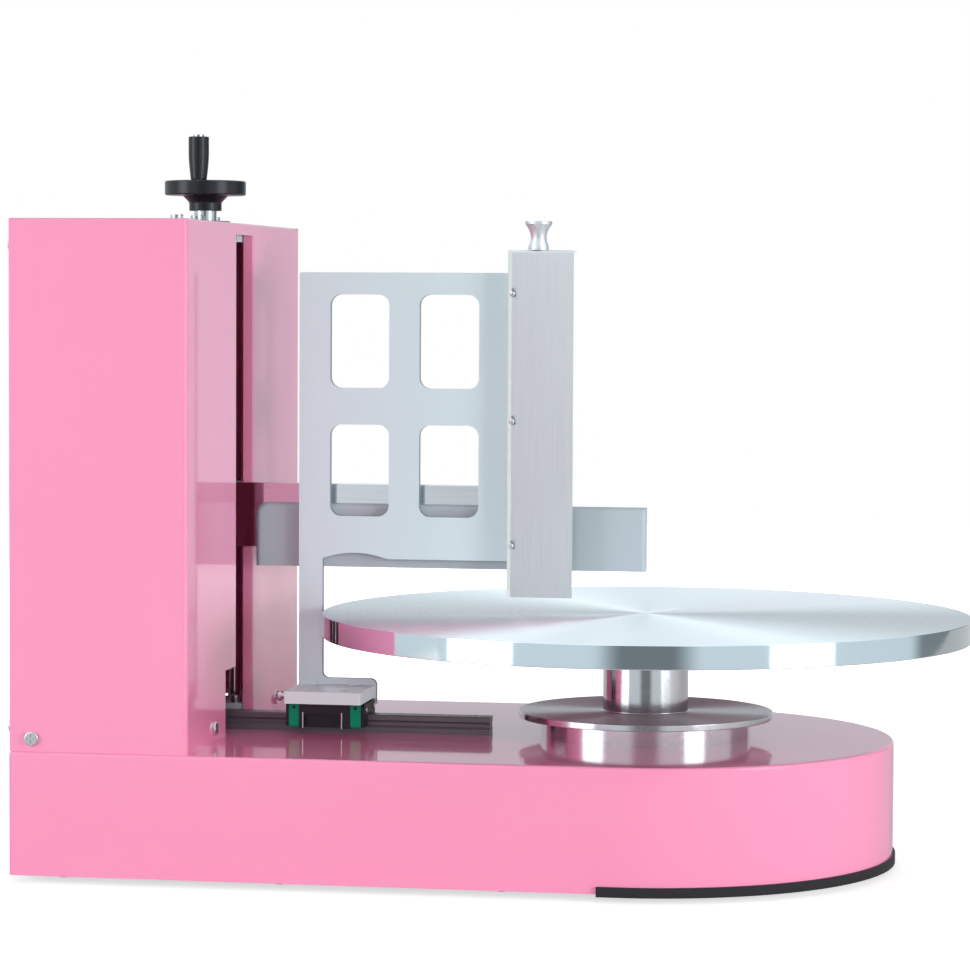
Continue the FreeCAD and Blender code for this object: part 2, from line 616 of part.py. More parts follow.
def arm_pieces():
    """The moving half of the lift: block, bushes, nut, arm bar and smoother blade."""
    low = ARM_BOTTOM
    high = ARM_TOP
    bush_radius = 9.5
    nut_radius = 11.0
    nut_flange = 17.0
    nut_flange_height = 6.0
    nut_shy = 6.0
    nut_top = high - nut_shy
    block = box(LIFT_LEFT, LIFT_RIGHT, ARM_BACK, LIFT_BACK, low, high)
    block = block.cut([upright(x, SCREW_Y, low, high, bush_radius) for x in ROD_X])
    block = block.cut(upright(SCREW_X, SCREW_Y, low, high, nut_radius))
    bolt_inset_x = 9.0
    bolt_inset_z = 12.0
    arm_bolts = [
        (vec(x, ARM_FRONT, z), FORWARD)
        for x in (LIFT_LEFT + bolt_inset_x, LIFT_RIGHT - bolt_inset_x)
        for z in (low + bolt_inset_z, high - bolt_inset_z)
    ]
    arm_bolt_grip = 12.0
    arm_bolt_length = ARM_THICKNESS + arm_bolt_grip
    arm_holes = shank_holes(arm_bolts, M5, arm_bolt_length)
    save("lift_block", block.cut(arm_holes))
    bush_bore = ROD_RADIUS + RUNNING
    bushes = [upright(x, SCREW_Y, low, high, bush_radius) for x in ROD_X]
    bores = [upright(x, SCREW_Y, low, high, bush_bore) for x in ROD_X]
    save("guide_bushes", [bush.cut(bores) for bush in bushes])
    nut = joined([
        upright(SCREW_X, SCREW_Y, low, nut_top, nut_radius),
        upright(SCREW_X, SCREW_Y, low - nut_flange_height, low, nut_flange),
    ])
    nut_bore = upright(SCREW_X, SCREW_Y, low - nut_flange_height, high, SCREW_RADIUS + RUNNING)
    save("lift_nut", nut.cut(nut_bore))

    boss_z = 158.0
    boss_radius = 6.0
    blade_bolts_x = (-290.0, -200.0, -110.0)
    blade_bolts = [(vec(x, ARM_BACK, boss_z), REARWARD) for x in blade_bolts_x]
    blade_bolt_grip = 4.0
    blade_bolt_length = ARM_THICKNESS + blade_bolt_grip
    blade_holes = shank_holes(blade_bolts, M5, blade_bolt_length)
    bar = box(LIFT_LEFT, ARM_RIGHT, ARM_FRONT, ARM_BACK, low, high)
    bar_corner = 6.0
    bar_ease = 0.6
    bar = rounded(bar, bar_corner, lambda e: runs(e, "y") and near(e.BoundBox.XMin, ARM_RIGHT))
    bar = rounded(bar, bar_ease, lambda e: runs(e, "x") and near(e.BoundBox.ZMin, high))
    save("arm_bar", bar.cut(arm_holes + blade_holes))
    head_radius = 4.5
    head_height = 2.8
    bolts = [cap_screw(at, axis, head_radius, head_height, M5, arm_bolt_length) for at, axis in arm_bolts]
    for at, axis in blade_bolts:
        bolts.append(cap_screw(at, axis, head_radius, head_height, M5, blade_bolt_length))
    save("arm_bolts", bolts)

    bend = 4.0
    inner_face = BLADE_FRONT + BLADE_SHEET
    pan = blade_form(0, bend, BLADE_FRONT)
    pan = pan.cut(blade_form(BLADE_SHEET, bend - BLADE_SHEET, inner_face))
    bosses = [rod(vec(at.x, inner_face, at.z), REARWARD, boss_radius, ARM_FRONT - inner_face)
              for at, axis in blade_bolts]
    save("smoother_blade", joined([pan] + bosses).cut(blade_holes))


def blade_form(inset, bend, face):
    """The blade's tray shape: one corner round in its face, three front edges bent back."""
    left = BLADE_LEFT + inset
    right = BLADE_RIGHT - inset
    top = BLADE_TOP - inset
    corner = BLADE_CORNER - inset
    form = box(left, right, face, ARM_FRONT, BLADE_BOTTOM, top)
    form = rounded(form, corner, lambda e: runs(e, "y") and near(e.BoundBox.XMin, left)
                   and near(e.BoundBox.ZMin, top))
    above_edge = BLADE_BOTTOM + SHORTEST_EDGE
    return rounded(form, bend, lambda e: near(e.BoundBox.YMax, face) and e.BoundBox.ZMax > above_edge)


def handwheel_pieces():
    """The handwheel with its lead screw, crank pin and revolving grip."""
    hub_low = 405.1
    hub_radius = 12.95
    cone_low = 411.8
    cone_radius = 18.4
    rim_low = 417.4
    spigot_top = 424.0
    dish = 421.5
    rim_inner = WHEEL_RADIUS - 7.0
    rim_ease = 1.3
    dish_slope = 3.0
    hub_crown = 2.0
    hub_top = WHEEL_TOP - hub_crown
    boss_radius = 7.0
    grip_x = SCREW_X
    grip_y = SCREW_Y - CRANK_RADIUS
    pin_radius = 3.0
    pin_low = WHEEL_TOP - 9.0
    wheel = turned(SCREW_X, SCREW_Y, [
        (0, spigot_top), (JOURNAL, spigot_top), (JOURNAL, hub_low), (hub_radius, hub_low),
        (hub_radius, cone_low), (cone_radius, rim_low), (WHEEL_RADIUS - rim_ease, rim_low),
        (WHEEL_RADIUS, rim_low + rim_ease), (WHEEL_RADIUS, WHEEL_TOP - rim_ease),
        (WHEEL_RADIUS - rim_ease, WHEEL_TOP), (rim_inner, WHEEL_TOP), (rim_inner - dish_slope, dish),
        (hub_radius, dish), (hub_radius - hub_crown, hub_top), (0, hub_top),
    ])
    boss = upright(grip_x, grip_y, rim_low, WHEEL_TOP, boss_radius)
    wheel = joined([wheel, boss]).cut(upright(grip_x, grip_y, pin_low, WHEEL_TOP, pin_radius))
    save("handwheel", wheel)

    thread_low = FLOOR_BRACKET_HEIGHT + TURNING_GAP
    thread_high = TOP_BRACKET_BOTTOM - TURNING_GAP
    collar_low = COLUMN_HEIGHT + BEARING_PLATE + TURNING_GAP
    collar_radius = 9.0
    screw_low = 3.0
    save("lead_screw", turned(SCREW_X, SCREW_Y, [
        (0, screw_low), (LOWER_JOURNAL, screw_low), (LOWER_JOURNAL, thread_low), (SCREW_RADIUS, thread_low),
        (SCREW_RADIUS, thread_high), (JOURNAL, thread_high), (JOURNAL, collar_low),
        (collar_radius, collar_low), (collar_radius, hub_low), (JOURNAL, hub_low), (JOURNAL, spigot_top),
        (0, spigot_top),
    ]))

    head_radius = 4.3
    head_top = GRIP_TOP + 1.6
    head_low = GRIP_TOP + RUNNING
    pin = joined([
        upright(grip_x, grip_y, pin_low, head_top, pin_radius),
        upright(grip_x, grip_y, head_low, head_top, head_radius),
    ])
    slot_half = 0.5
    slot_depth = 0.9
    driver_slot = box(grip_x - pin_radius, grip_x + pin_radius, grip_y - slot_half, grip_y + slot_half,
                      head_top - slot_depth, head_top)
    save("crank_pin", pin.cut(driver_slot))

    grip_low = WHEEL_TOP + TURNING_GAP
    bore = pin_radius + RUNNING
    foot = 6.4
    swell = 7.6
    barrel = 8.1
    ease = 1.0
    swell_z = grip_low + 12.0
    barrel_z = grip_low + 20.0
    profile = [
        (bore, grip_low), (foot - ease / 2, grip_low), (foot, grip_low + ease), (swell, swell_z),
        (barrel, barrel_z), (barrel, GRIP_TOP - ease), (barrel - ease, GRIP_TOP), (bore, GRIP_TOP),
    ]
    save("crank_grip", turned(grip_x, grip_y, profile))


def turntable_pieces():
    """The turning table, its stem, spindle and pulley, and the fixed hub that carries them."""
    ease = 0.9
    spindle_top = TABLE_BOTTOM + 9.0
    save("turntable_disc", turned(0, 0, [
        (0, spindle_top), (SPINDLE_RADIUS, spindle_top), (SPINDLE_RADIUS, TABLE_BOTTOM),
        (TABLE_RADIUS - ease, TABLE_BOTTOM), (TABLE_RADIUS, TABLE_BOTTOM + ease),
        (TABLE_RADIUS, TABLE_TOP - ease), (TABLE_RADIUS - ease, TABLE_TOP), (0, TABLE_TOP),
    ]))
    save("turntable_hub", turned(0, 0, [
        (SPINDLE_RADIUS, FLANGE_BOTTOM), (FLANGE_RADIUS - ease, FLANGE_BOTTOM),
        (FLANGE_RADIUS, FLANGE_BOTTOM + ease), (FLANGE_RADIUS, FLANGE_TOP - ease),
        (FLANGE_RADIUS - ease, FLANGE_TOP), (STEM_RADIUS, FLANGE_TOP), (STEM_RADIUS, TABLE_BOTTOM),
        (SPINDLE_RADIUS, TABLE_BOTTOM),
    ]))
    pulley_low = -74.0
    pulley_high = -58.0
    shaft_low = pulley_low - 2.0
    save("spindle", upright(0, 0, shaft_low, spindle_top, SPINDLE_RADIUS))
    save("driven_pulley", pulley(0, 0, DRIVEN_PULLEY_RADIUS, SPINDLE_RADIUS, pulley_low, pulley_high))

    bearing_radius = 31.0
    shoulder = 27.0
    bearing_height = 16.0
    housing_low = -52.0
    housing_lip = 2.0
    lower_bearing = housing_low + housing_lip
    upper_bearing = -6.0
    housing = turned(0, 0, [
        (bearing_radius, housing_low), (HOUSING_RADIUS, housing_low), (HOUSING_RADIUS, 0),
        (HUB_RING_RADIUS, 0), (HUB_RING_RADIUS, HUB_RING_TOP - ease), (HUB_RING_RADIUS - ease, HUB_RING_TOP),
        (bearing_radius, HUB_RING_TOP), (bearing_radius, upper_bearing), (shoulder, upper_bearing),
        (shoulder, lower_bearing + bearing_height), (bearing_radius, lower_bearing + bearing_height),
    ])
    housing = housing.cut(sinks(HUB_BOLTS, SOCKET_HEAD, SOCKET_SINK))
    save("hub_housing", housing.cut(shank_holes(HUB_BOLTS, M4, HUB_BOLT_LENGTH)))
    bore = SPINDLE_RADIUS + RUNNING
    bearings = []
    for z in (lower_bearing, upper_bearing):
        ring = upright(0, 0, z, z + bearing_height, bearing_radius)
        bearings.append(ring.cut(upright(0, 0, z, z + bearing_height, bore)))
    save("spindle_bearings", bearings)

    belt_thickness = 1.6
    belt_inset = 3.0
    belt_low = pulley_low + belt_inset
    belt_high = pulley_high - belt_inset
    belt = belt_loop(TURNING_GAP + belt_thickness, belt_low, belt_high)
    save("drive_belt", belt.cut(belt_loop(TURNING_GAP, belt_low, belt_high)))
    save("motor_pulley", pulley(MOTOR_X, MOTOR_Y, MOTOR_PULLEY_RADIUS, MOTOR_SHAFT_RADIUS,
                                pulley_low, pulley_high))
    shaft_top = -24.0
    shaft_end_gap = 1.0
    save("motor_shaft", upright(MOTOR_X, MOTOR_Y, shaft_low, shaft_top, MOTOR_SHAFT_RADIUS))

    gearbox_top = MOTOR_FACE + 18.0
    motor_top = -8.0
    waist = 4.0
    motor = joined([
        upright(MOTOR_X, MOTOR_Y, MOTOR_FACE, gearbox_top, MOTOR_RADIUS),
        upright(MOTOR_X, MOTOR_Y, gearbox_top, motor_top, MOTOR_RADIUS - waist),
    ])
    bolt_holes = shank_holes(MOTOR_BOLTS, M4, MOTOR_BOLT_LENGTH)
    bore = upright(MOTOR_X, MOTOR_Y, MOTOR_FACE, shaft_top + shaft_end_gap, MOTOR_SHAFT_RADIUS + RUNNING)
    save("gear_motor", motor.cut(bolt_holes + [bore]))
    half_x = 44.0
    half_y = 40.0
    foot = 12.0
    left = MOTOR_X - half_x
    right = MOTOR_X + half_x
    low = MOTOR_FACE - MOTOR_PLATE
    legs = [box(left, right, MOTOR_Y - half_y, MOTOR_Y + half_y, low, MOTOR_FACE)]
    for y0, y1, foot_y0, foot_y1 in (
        (half_y - MOTOR_PLATE, half_y, half_y, half_y + foot),
        (-half_y, MOTOR_PLATE - half_y, -half_y - foot, -half_y),
    ):
        legs.append(box(left, right, MOTOR_Y + y0, MOTOR_Y + y1, low, -SHEET))
        legs.append(box(left, right, MOTOR_Y + foot_y0, MOTOR_Y + foot_y1, -SHEET - MOTOR_PLATE, -SHEET))
    shaft_hole = upright(MOTOR_X, MOTOR_Y, low, MOTOR_FACE, 2 * MOTOR_SHAFT_RADIUS)
    save("motor_bracket", joined(legs).cut(bolt_holes + [shaft_hole]))


def pulley(x, y, radius, bore, z0, z1):
    """A flat belt pulley with a rim at each side."""
    cheek = 2.0
    rim_height = 3.0
    rim = radius + rim_height
    return turned(x, y, [
        (bore, z0), (rim, z0), (rim, z0 + cheek), (radius, z0 + cheek),
        (radius, z1 - cheek), (rim, z1 - cheek), (rim, z1), (bore, z1),
    ])


def rail_and_carriage_pieces():
    """The linear rail and the flanged block that runs on it, with its ends and top plate."""
    half = RAIL_WIDTH / 2
    groove = 1.7
    neck = half - groove
    groove_low = 4.2
    groove_high = 10.0
    ease = 0.7
    side = [
        (half, 0), (half, groove_low), (neck, groove_low + groove), (neck, groove_high - groove),
        (half, groove_high), (half, RAIL_HEIGHT - ease), (half - ease, RAIL_HEIGHT),
    ]
    outline = [vec(RAIL_LEFT, RAIL_Y + y, z) for y, z in side]
    outline += [vec(RAIL_LEFT, RAIL_Y - y, z) for y, z in reversed(side)]
    rail = prism(outline, vec(RAIL_RIGHT - RAIL_LEFT, 0, 0))
    rail = rail.cut(sinks(RAIL_BOLTS, SOCKET_HEAD, SOCKET_SINK))
    save("linear_rail", rail.cut(shank_holes(RAIL_BOLTS, M4, RAIL_BOLT_LENGTH)))

    seal = 2.5
    cap = 8.0
    left = BLOCK_X - BLOCK_LENGTH / 2
    right = BLOCK_X + BLOCK_LENGTH / 2
    body_left = left + seal + cap
    body_right = right - seal - cap
    half_width = BLOCK_WIDTH / 2
    recess = 6.5
    band_low = 15.0
    tunnel_gap = 0.6
    tunnel = RAIL_WIDTH / 2 + tunnel_gap
    tunnel_top = RAIL_HEIGHT + tunnel_gap
    tunnel_cut = box(left, right, RAIL_Y - tunnel, RAIL_Y + tunnel, BLOCK_BOTTOM, tunnel_top)
    clamp_depth = 5.0
    sink_floor = BLOCK_HEIGHT + clamp_depth
    plate_bolts = [
        (vec(BLOCK_X + sx * BLOCK_BOLTS_X / 2, RAIL_Y + sy * BLOCK_BOLTS_Y / 2, sink_floor), UP)
        for sx in (-1, 1) for sy in (-1, 1)
    ]
    plate_bolt_length = 12.0
    bolt_holes = shank_holes(plate_bolts, M5, plate_bolt_length)
    body = box(body_left, body_right, RAIL_Y - BLOCK_WIDTH / 2, RAIL_Y + BLOCK_WIDTH / 2,
               BLOCK_BOTTOM, BLOCK_HEIGHT)
    thin_wall = 2.2
    thick_wall = 6.0
    pocket_left = body_left + thin_wall
    pocket_right = body_right - thick_wall
    front = RAIL_Y - half_width
    back = RAIL_Y + half_width
    pockets = [
        box(pocket_left, pocket_right, front, front + recess, BLOCK_BOTTOM, band_low),
        box(pocket_left, pocket_right, back - recess, back, BLOCK_BOTTOM, band_low),
    ]
    save("carriage_block", body.cut(pockets + [tunnel_cut] + bolt_holes))

    caps = []
    seals = []
    screws = []
    cap_inset = 0.5
    seal_inset = 1.2
    cap_half = half_width - cap_inset
    seal_half = half_width - seal_inset
    end_round = 2.0
    screw_reach = 15.5
    screw_z = 18.5
    screw_shank = 1.2
    screw_head = 2.2
    for cap_left, seal_left, face, facing in (
        (left + seal, left, left, LEFT),
        (body_right, right - seal, right, RIGHT),
    ):
        end = box(cap_left, cap_left + cap, RAIL_Y - cap_half, RAIL_Y + cap_half,
                  BLOCK_BOTTOM + cap_inset, BLOCK_HEIGHT - cap_inset)
        end = rounded(end, end_round, lambda e: runs(e, "x"))
        caps.append(end.cut(tunnel_cut))
        lip = box(seal_left, seal_left + seal, RAIL_Y - seal_half, RAIL_Y + seal_half,
                  BLOCK_BOTTOM + seal_inset, BLOCK_HEIGHT - seal_inset)
        lip = rounded(lip, end_round, lambda e: runs(e, "x"))
        places = [(vec(face, RAIL_Y + side * screw_reach, screw_z), facing) for side in (-1, 1)]
        seals.append(lip.cut([tunnel_cut] + shank_holes(places, screw_shank, seal)))
        screws += [pan_screw(at, axis, screw_head, screw_shank, screw_shank, seal) for at, axis in places]
    save("block_end_caps", caps)
    save("block_end_seals", seals)

    sink_radius = 4.4
    head_height = 4.0
    stop_y = -40.0
    stop_z = 28.6
    stop_neck = 4.4
    stop_head = 4.0
    stop_shank = 12.0
    stop = (vec(CARRIAGE_PLATE_LEFT - stop_neck, stop_y, stop_z), LEFT)
    plate = box(CARRIAGE_PLATE_LEFT, CARRIAGE_PLATE_RIGHT, CARRIAGE_PLATE_FRONT, FRAME_PLATE_FRONT,
                BLOCK_HEIGHT, CARRIAGE_PLATE_TOP)
    plate_ease = 0.8
    plate = rounded(plate, plate_ease, lambda e: near(e.BoundBox.ZMin, CARRIAGE_PLATE_TOP)
                    or (runs(e, "z") and near(e.BoundBox.YMin, CARRIAGE_PLATE_FRONT)))
    cuts = sinks(plate_bolts, sink_radius, CARRIAGE_PLATE_TOP - sink_floor)
    cuts += bolt_holes + shank_holes([stop], M4, stop_shank) + shank_holes(FOOT_BOLTS, M4, FOOT_BOLT_LENGTH)
    save("carriage_plate", plate.cut(cuts))
    save("carriage_plate_bolts", [
        cap_screw(at, axis, sink_radius - SINK_CLEARANCE, head_height, M5, plate_bolt_length)
        for at, axis in plate_bolts
    ])
    screws.append(pan_screw(stop[0], stop[1], stop_head, stop_neck, M4, stop_shank))
    save("carriage_screws", screws)


def window(x0, x1, z0, z1):
    """A round-cornered window through the frame plate."""
    opening = box(x0, x1, FRAME_PLATE_FRONT, FRAME_PLATE_BACK, z0, z1)
    return rounded(opening, WINDOW_CORNER, lambda e: runs(e, "y"))


def scraper_pieces():
    """The slotted frame plate that stands on the carriage and the upright scraper it holds."""
    y0 = FRAME_PLATE_FRONT
    y1 = FRAME_PLATE_BACK
    plate = joined([
        box(FRAME_PLATE_LEFT, FRAME_PLATE_RIGHT, y0, y1, FRAME_PLATE_EDGE, FRAME_PLATE_TOP),
        box(FRAME_PLATE_LEFT, FRAME_POST_RIGHT, y0, y1, FRAME_PLATE_FOOT, FRAME_PLATE_EDGE),
        box(FRAME_POST_RIGHT, FRAME_FOOT_RIGHT, y0, y1, FRAME_PLATE_FOOT, FRAME_FOOT_TOP),
    ])
    inner_corner = 5.0
    plate = rounded(plate, inner_corner, lambda e: runs(e, "y") and (
        (near(e.BoundBox.XMin, FRAME_POST_RIGHT) and near(e.BoundBox.ZMin, FRAME_FOOT_TOP))
        or (near(e.BoundBox.XMin, FRAME_FOOT_RIGHT) and near(e.BoundBox.ZMin, FRAME_FOOT_TOP))))
    top_corner = 2.0
    plate = rounded(plate, top_corner, lambda e: runs(e, "y") and near(e.BoundBox.ZMin, FRAME_PLATE_TOP))
    arch_width = 51.4
    arch_rise = 4.6
    arch_radius = (arch_width * arch_width / 4 + arch_rise * arch_rise) / (2 * arch_rise)
    arch_x = FRAME_POST_RIGHT + arch_width / 2
    arch_axis = vec(arch_x, y0, FRAME_PLATE_EDGE + arch_rise - arch_radius)
    arch = rod(arch_axis, REARWARD, arch_radius, y1 - y0)
    arch = arch.common(box(FRAME_POST_RIGHT, FRAME_POST_RIGHT + arch_width, y0, y1,
                           FRAME_PLATE_EDGE - arch_rise, FRAME_PLATE_EDGE + arch_rise))
    windows = [window(x0, x1, z0, z1) for x0, x1 in WINDOW_COLUMNS for z0, z1 in WINDOW_ROWS]
    inner_front = SCRAPER_FRONT + SCRAPER_SHEET
    holes = sinks(BAR_BOLTS, SOCKET_HEAD, SOCKET_SINK) + shank_holes(BAR_BOLTS, M4, BAR_BOLT_LENGTH)
    holes += shank_holes(FOOT_BOLTS, M4, FOOT_BOLT_LENGTH)
    save("frame_plate", plate.cut([arch] + windows + holes))

    bar_low = 122.0
    bar_high = 352.0
    bar_corner = 3.2
    bar_right = SCRAPER_BAR_LEFT + SCRAPER_BAR_WIDTH
    bar = box(SCRAPER_BAR_LEFT, bar_right, inner_front, y0, bar_low, bar_high)
    bar = rounded(bar, bar_corner, lambda e: runs(e, "z") and near(e.BoundBox.XMin, SCRAPER_BAR_LEFT)
                  and near(e.BoundBox.YMin, inner_front))
    save("scraper_bar", bar.cut(shank_holes(BAR_BOLTS, M4, BAR_BOLT_LENGTH)))

    bend = 4.0
    top_bend = 2.0
    sheet = box(SCRAPER_LEFT, SCRAPER_RIGHT, SCRAPER_FRONT, y0, SCRAPER_BOTTOM, SCRAPER_TOP)
    sheet = rounded(sheet, bend, lambda e: runs(e, "z") and near(e.BoundBox.XMin, SCRAPER_LEFT)
                    and near(e.BoundBox.YMin, SCRAPER_FRONT))
    sheet = rounded(sheet, top_bend, lambda e: runs(e, "x") and near(e.BoundBox.ZMin, SCRAPER_TOP)
                    and near(e.BoundBox.YMin, SCRAPER_FRONT))
    inside = box(SCRAPER_BAR_LEFT, SCRAPER_RIGHT, inner_front, y0,
                 SCRAPER_BOTTOM, SCRAPER_TOP - SCRAPER_SHEET)
    inside = rounded(inside, bend - SCRAPER_SHEET, lambda e: runs(e, "z")
                     and near(e.BoundBox.XMin, SCRAPER_BAR_LEFT) and near(e.BoundBox.YMin, inner_front))
    pin_x = SCRAPER_LEFT + bend
    pin_radius = 2.2
    pin_length = 3.4
    pin_dome = 1.6
    pin_gap = 0.4
    slot_half = 3.4
    slot_rise = 1.0
    slot_depth = 5.5
    slot_right = pin_x + pin_radius + pin_gap
    slots = []
    pins = []
    for z in SCRAPER_PINS_Z:
        middle = z + slot_rise
        slots.append(box(SCRAPER_LEFT, slot_right, SCRAPER_FRONT, SCRAPER_FRONT + slot_depth,
                         middle - slot_half, middle + slot_half))
        pin = Part.makeCylinder(pin_radius, pin_length)
        pin = rounded(pin, pin_dome, lambda e: near(e.BoundBox.ZMin, pin_length))
        pins.append(aimed(pin, vec(pin_x, inner_front, z), FORWARD))
    save("scraper_blade", sheet.cut([inside] + slots))
    save("scraper_pins", pins)

    knob_x = -85.1
    knob_y = -4.0
    base = 8.0
    waist = 6.05
    top = 10.5
    z = SCRAPER_TOP
    waist_height = 9.3
    lip_height = 20.0
    knob_height = 22.4
    waist_z = z + waist_height
    lip_z = z + lip_height
    top_z = z + knob_height
    edges = [
        Part.LineSegment(vec(knob_x, knob_y, z), vec(knob_x + base, knob_y, z)).toShape(),
        Part.Arc(vec(knob_x + base, knob_y, z), vec(knob_x + waist, knob_y, waist_z),
                 vec(knob_x + top, knob_y, lip_z)).toShape(),
        Part.LineSegment(vec(knob_x + top, knob_y, lip_z), vec(knob_x + top, knob_y, top_z)).toShape(),
        Part.LineSegment(vec(knob_x + top, knob_y, top_z), vec(knob_x, knob_y, top_z)).toShape(),
        Part.LineSegment(vec(knob_x, knob_y, top_z), vec(knob_x, knob_y, z)).toShape(),
    ]
    knob = Part.Face(Part.Wire(edges)).revolve(vec(knob_x, knob_y, z), UP, 360)
    save("scraper_knob", knob)


def control_pieces():
    """The mains inlet, switch and speed control on the base's rear wall, and the boards inside."""
    wall = BASE_RADIUS
    inlet_depth = 24.0
    rim = 2.4
    rim_reach = 3.0
    inlet = joined([
        box(INLET_X - INLET_HALF_X, INLET_X + INLET_HALF_X, wall - inlet_depth, wall,
            PANEL_Z - INLET_HALF_Z, PANEL_Z + INLET_HALF_Z),
        box(INLET_X - INLET_HALF_X - rim_reach, INLET_X + INLET_HALF_X + rim_reach, wall, wall + rim,
            PANEL_Z - INLET_HALF_Z - rim_reach, PANEL_Z + INLET_HALF_Z + rim_reach),
    ])
    socket_floor = wall - 16.0
    socket_half_x = 11.5
    socket_half_z = 7.5
    socket_corner = 3.0
    socket = box(INLET_X - socket_half_x, INLET_X + socket_half_x, socket_floor, wall + rim,
                 PANEL_Z - socket_half_z, PANEL_Z + socket_half_z)
    save("power_inlet", inlet.cut(rounded(socket, socket_corner, lambda e: runs(e, "y"))))
    pins = []
    pin_tip = wall - 2.0
    pin_half_x = 1.0
    pin_half_z = 2.0
    side_pin = 7.0
    low_row = -1.5
    high_row = 2.5
    for dx, dz in ((-side_pin, low_row), (0.0, high_row), (side_pin, low_row)):
        x = INLET_X + dx
        z = PANEL_Z + dz
        pins.append(box(x - pin_half_x, x + pin_half_x, socket_floor, pin_tip,
                        z - pin_half_z, z + pin_half_z))
    save("inlet_pins", pins)

    bezel = 2.0
    bezel_reach = 2.5
    switch_depth = 22.0
    well_half_x = 8.4
    well_half_z = 13.0
    well_floor = wall - 14.0
    pivot_depth = 4.0
    pivot = vec(SWITCH_X, wall - pivot_depth, PANEL_Z)
    trunnion = 1.5
    trunnion_reach = SWITCH_HALF_X - 0.6
    trunnion_gap = 0.2
    housing = joined([
        box(SWITCH_X - SWITCH_HALF_X, SWITCH_X + SWITCH_HALF_X, wall - switch_depth, wall,
            PANEL_Z - SWITCH_HALF_Z, PANEL_Z + SWITCH_HALF_Z),
        box(SWITCH_X - SWITCH_HALF_X - bezel_reach, SWITCH_X + SWITCH_HALF_X + bezel_reach,
            wall, wall + bezel,
            PANEL_Z - SWITCH_HALF_Z - bezel_reach, PANEL_Z + SWITCH_HALF_Z + bezel_reach),
    ])
    well = box(SWITCH_X - well_half_x, SWITCH_X + well_half_x, well_floor, wall + bezel,
               PANEL_Z - well_half_z, PANEL_Z + well_half_z)
    bore_reach = trunnion_reach + trunnion_gap
    pivot_bore = rod(pivot + LEFT * bore_reach, RIGHT, trunnion + RUNNING, 2 * bore_reach)
    save("switch_housing", housing.cut([well, pivot_bore]))
    rocker_tip = (6.6, 11.4)
    rocker_waist = 4.4
    rocker_heel = (-3.0, 11.0)
    rocker_foot = (-4.0, 8.0)
    rocker_gap = 0.4
    half_outline = [rocker_foot, rocker_heel, rocker_tip]
    outline = [(y, -z) for y, z in half_outline] + [(rocker_waist, 0)]
    outline += reversed(half_outline)
    rocker_half = well_half_x - rocker_gap
    points = [vec(SWITCH_X - rocker_half, pivot.y + y, PANEL_Z + z) for y, z in outline]
    rocker = prism(points, vec(2 * rocker_half, 0, 0))
    rocker = joined([rocker, rod(pivot + LEFT * trunnion_reach, RIGHT, trunnion, 2 * trunnion_reach)])
    rocker.rotate(pivot, RIGHT, -SWITCH_TILT)
    save("switch_rocker", rocker)

    pot_depth = 14.0
    pot_radius = 10.0
    bush_proud = 5.0
    pot = joined([
        rod(vec(KNOB_X, wall - SHEET - pot_depth, PANEL_Z), REARWARD, pot_radius, pot_depth),
        rod(vec(KNOB_X, wall - SHEET, PANEL_Z), REARWARD, POT_BUSH, SHEET + bush_proud),
    ])
    shaft_low = wall - pot_radius
    bore_length = pot_radius + bush_proud
    pot_bore = rod(vec(KNOB_X, shaft_low, PANEL_Z), REARWARD, POT_SHAFT + RUNNING, bore_length)
    save("speed_pot", pot.cut(pot_bore))
    knob_low = wall + 1.0
    knob_length = 17.0
    skirt = 13.0
    knob_ease = 1.5
    shaft_end = knob_low + 12.0
    knob = Part.makeCylinder(skirt, knob_length)
    knob = rounded(knob, knob_ease, lambda e: near(e.BoundBox.ZMin, knob_length))
    flutes = []
    flute_count = 18
    flute_low = 4.0
    flute_radius = 1.1
    for step in range(flute_count):
        angle = 2 * math.pi * step / flute_count
        at = vec(skirt * math.cos(angle), skirt * math.sin(angle), flute_low)
        flutes.append(Part.makeCylinder(flute_radius, knob_length, at))
    pointer_half = 0.7
    pointer_start = 3.5
    pointer_depth = 0.8
    pointer = Part.makeBox(2 * pointer_half, skirt - pointer_start, pointer_depth,
                           vec(-pointer_half, pointer_start, knob_length - pointer_depth))
    recess_radius = 8.0
    recess_depth = 6.0
    recess = Part.makeCylinder(recess_radius, recess_depth)
    bore = Part.makeCylinder(POT_SHAFT, shaft_end - knob_low)
    knob = knob.cut(flutes + [pointer, recess, bore])
    knob.rotate(vec(0, 0, 0), UP, DIAL_SWEEP / 2 - 180)
    save("speed_knob", aimed(knob, vec(KNOB_X, knob_low, PANEL_Z), REARWARD))
    shaft_gap = 1.0
    shaft_start = shaft_low + shaft_gap
    save("pot_shaft", rod(vec(KNOB_X, shaft_start, PANEL_Z), REARWARD, POT_SHAFT, shaft_end - shaft_start))

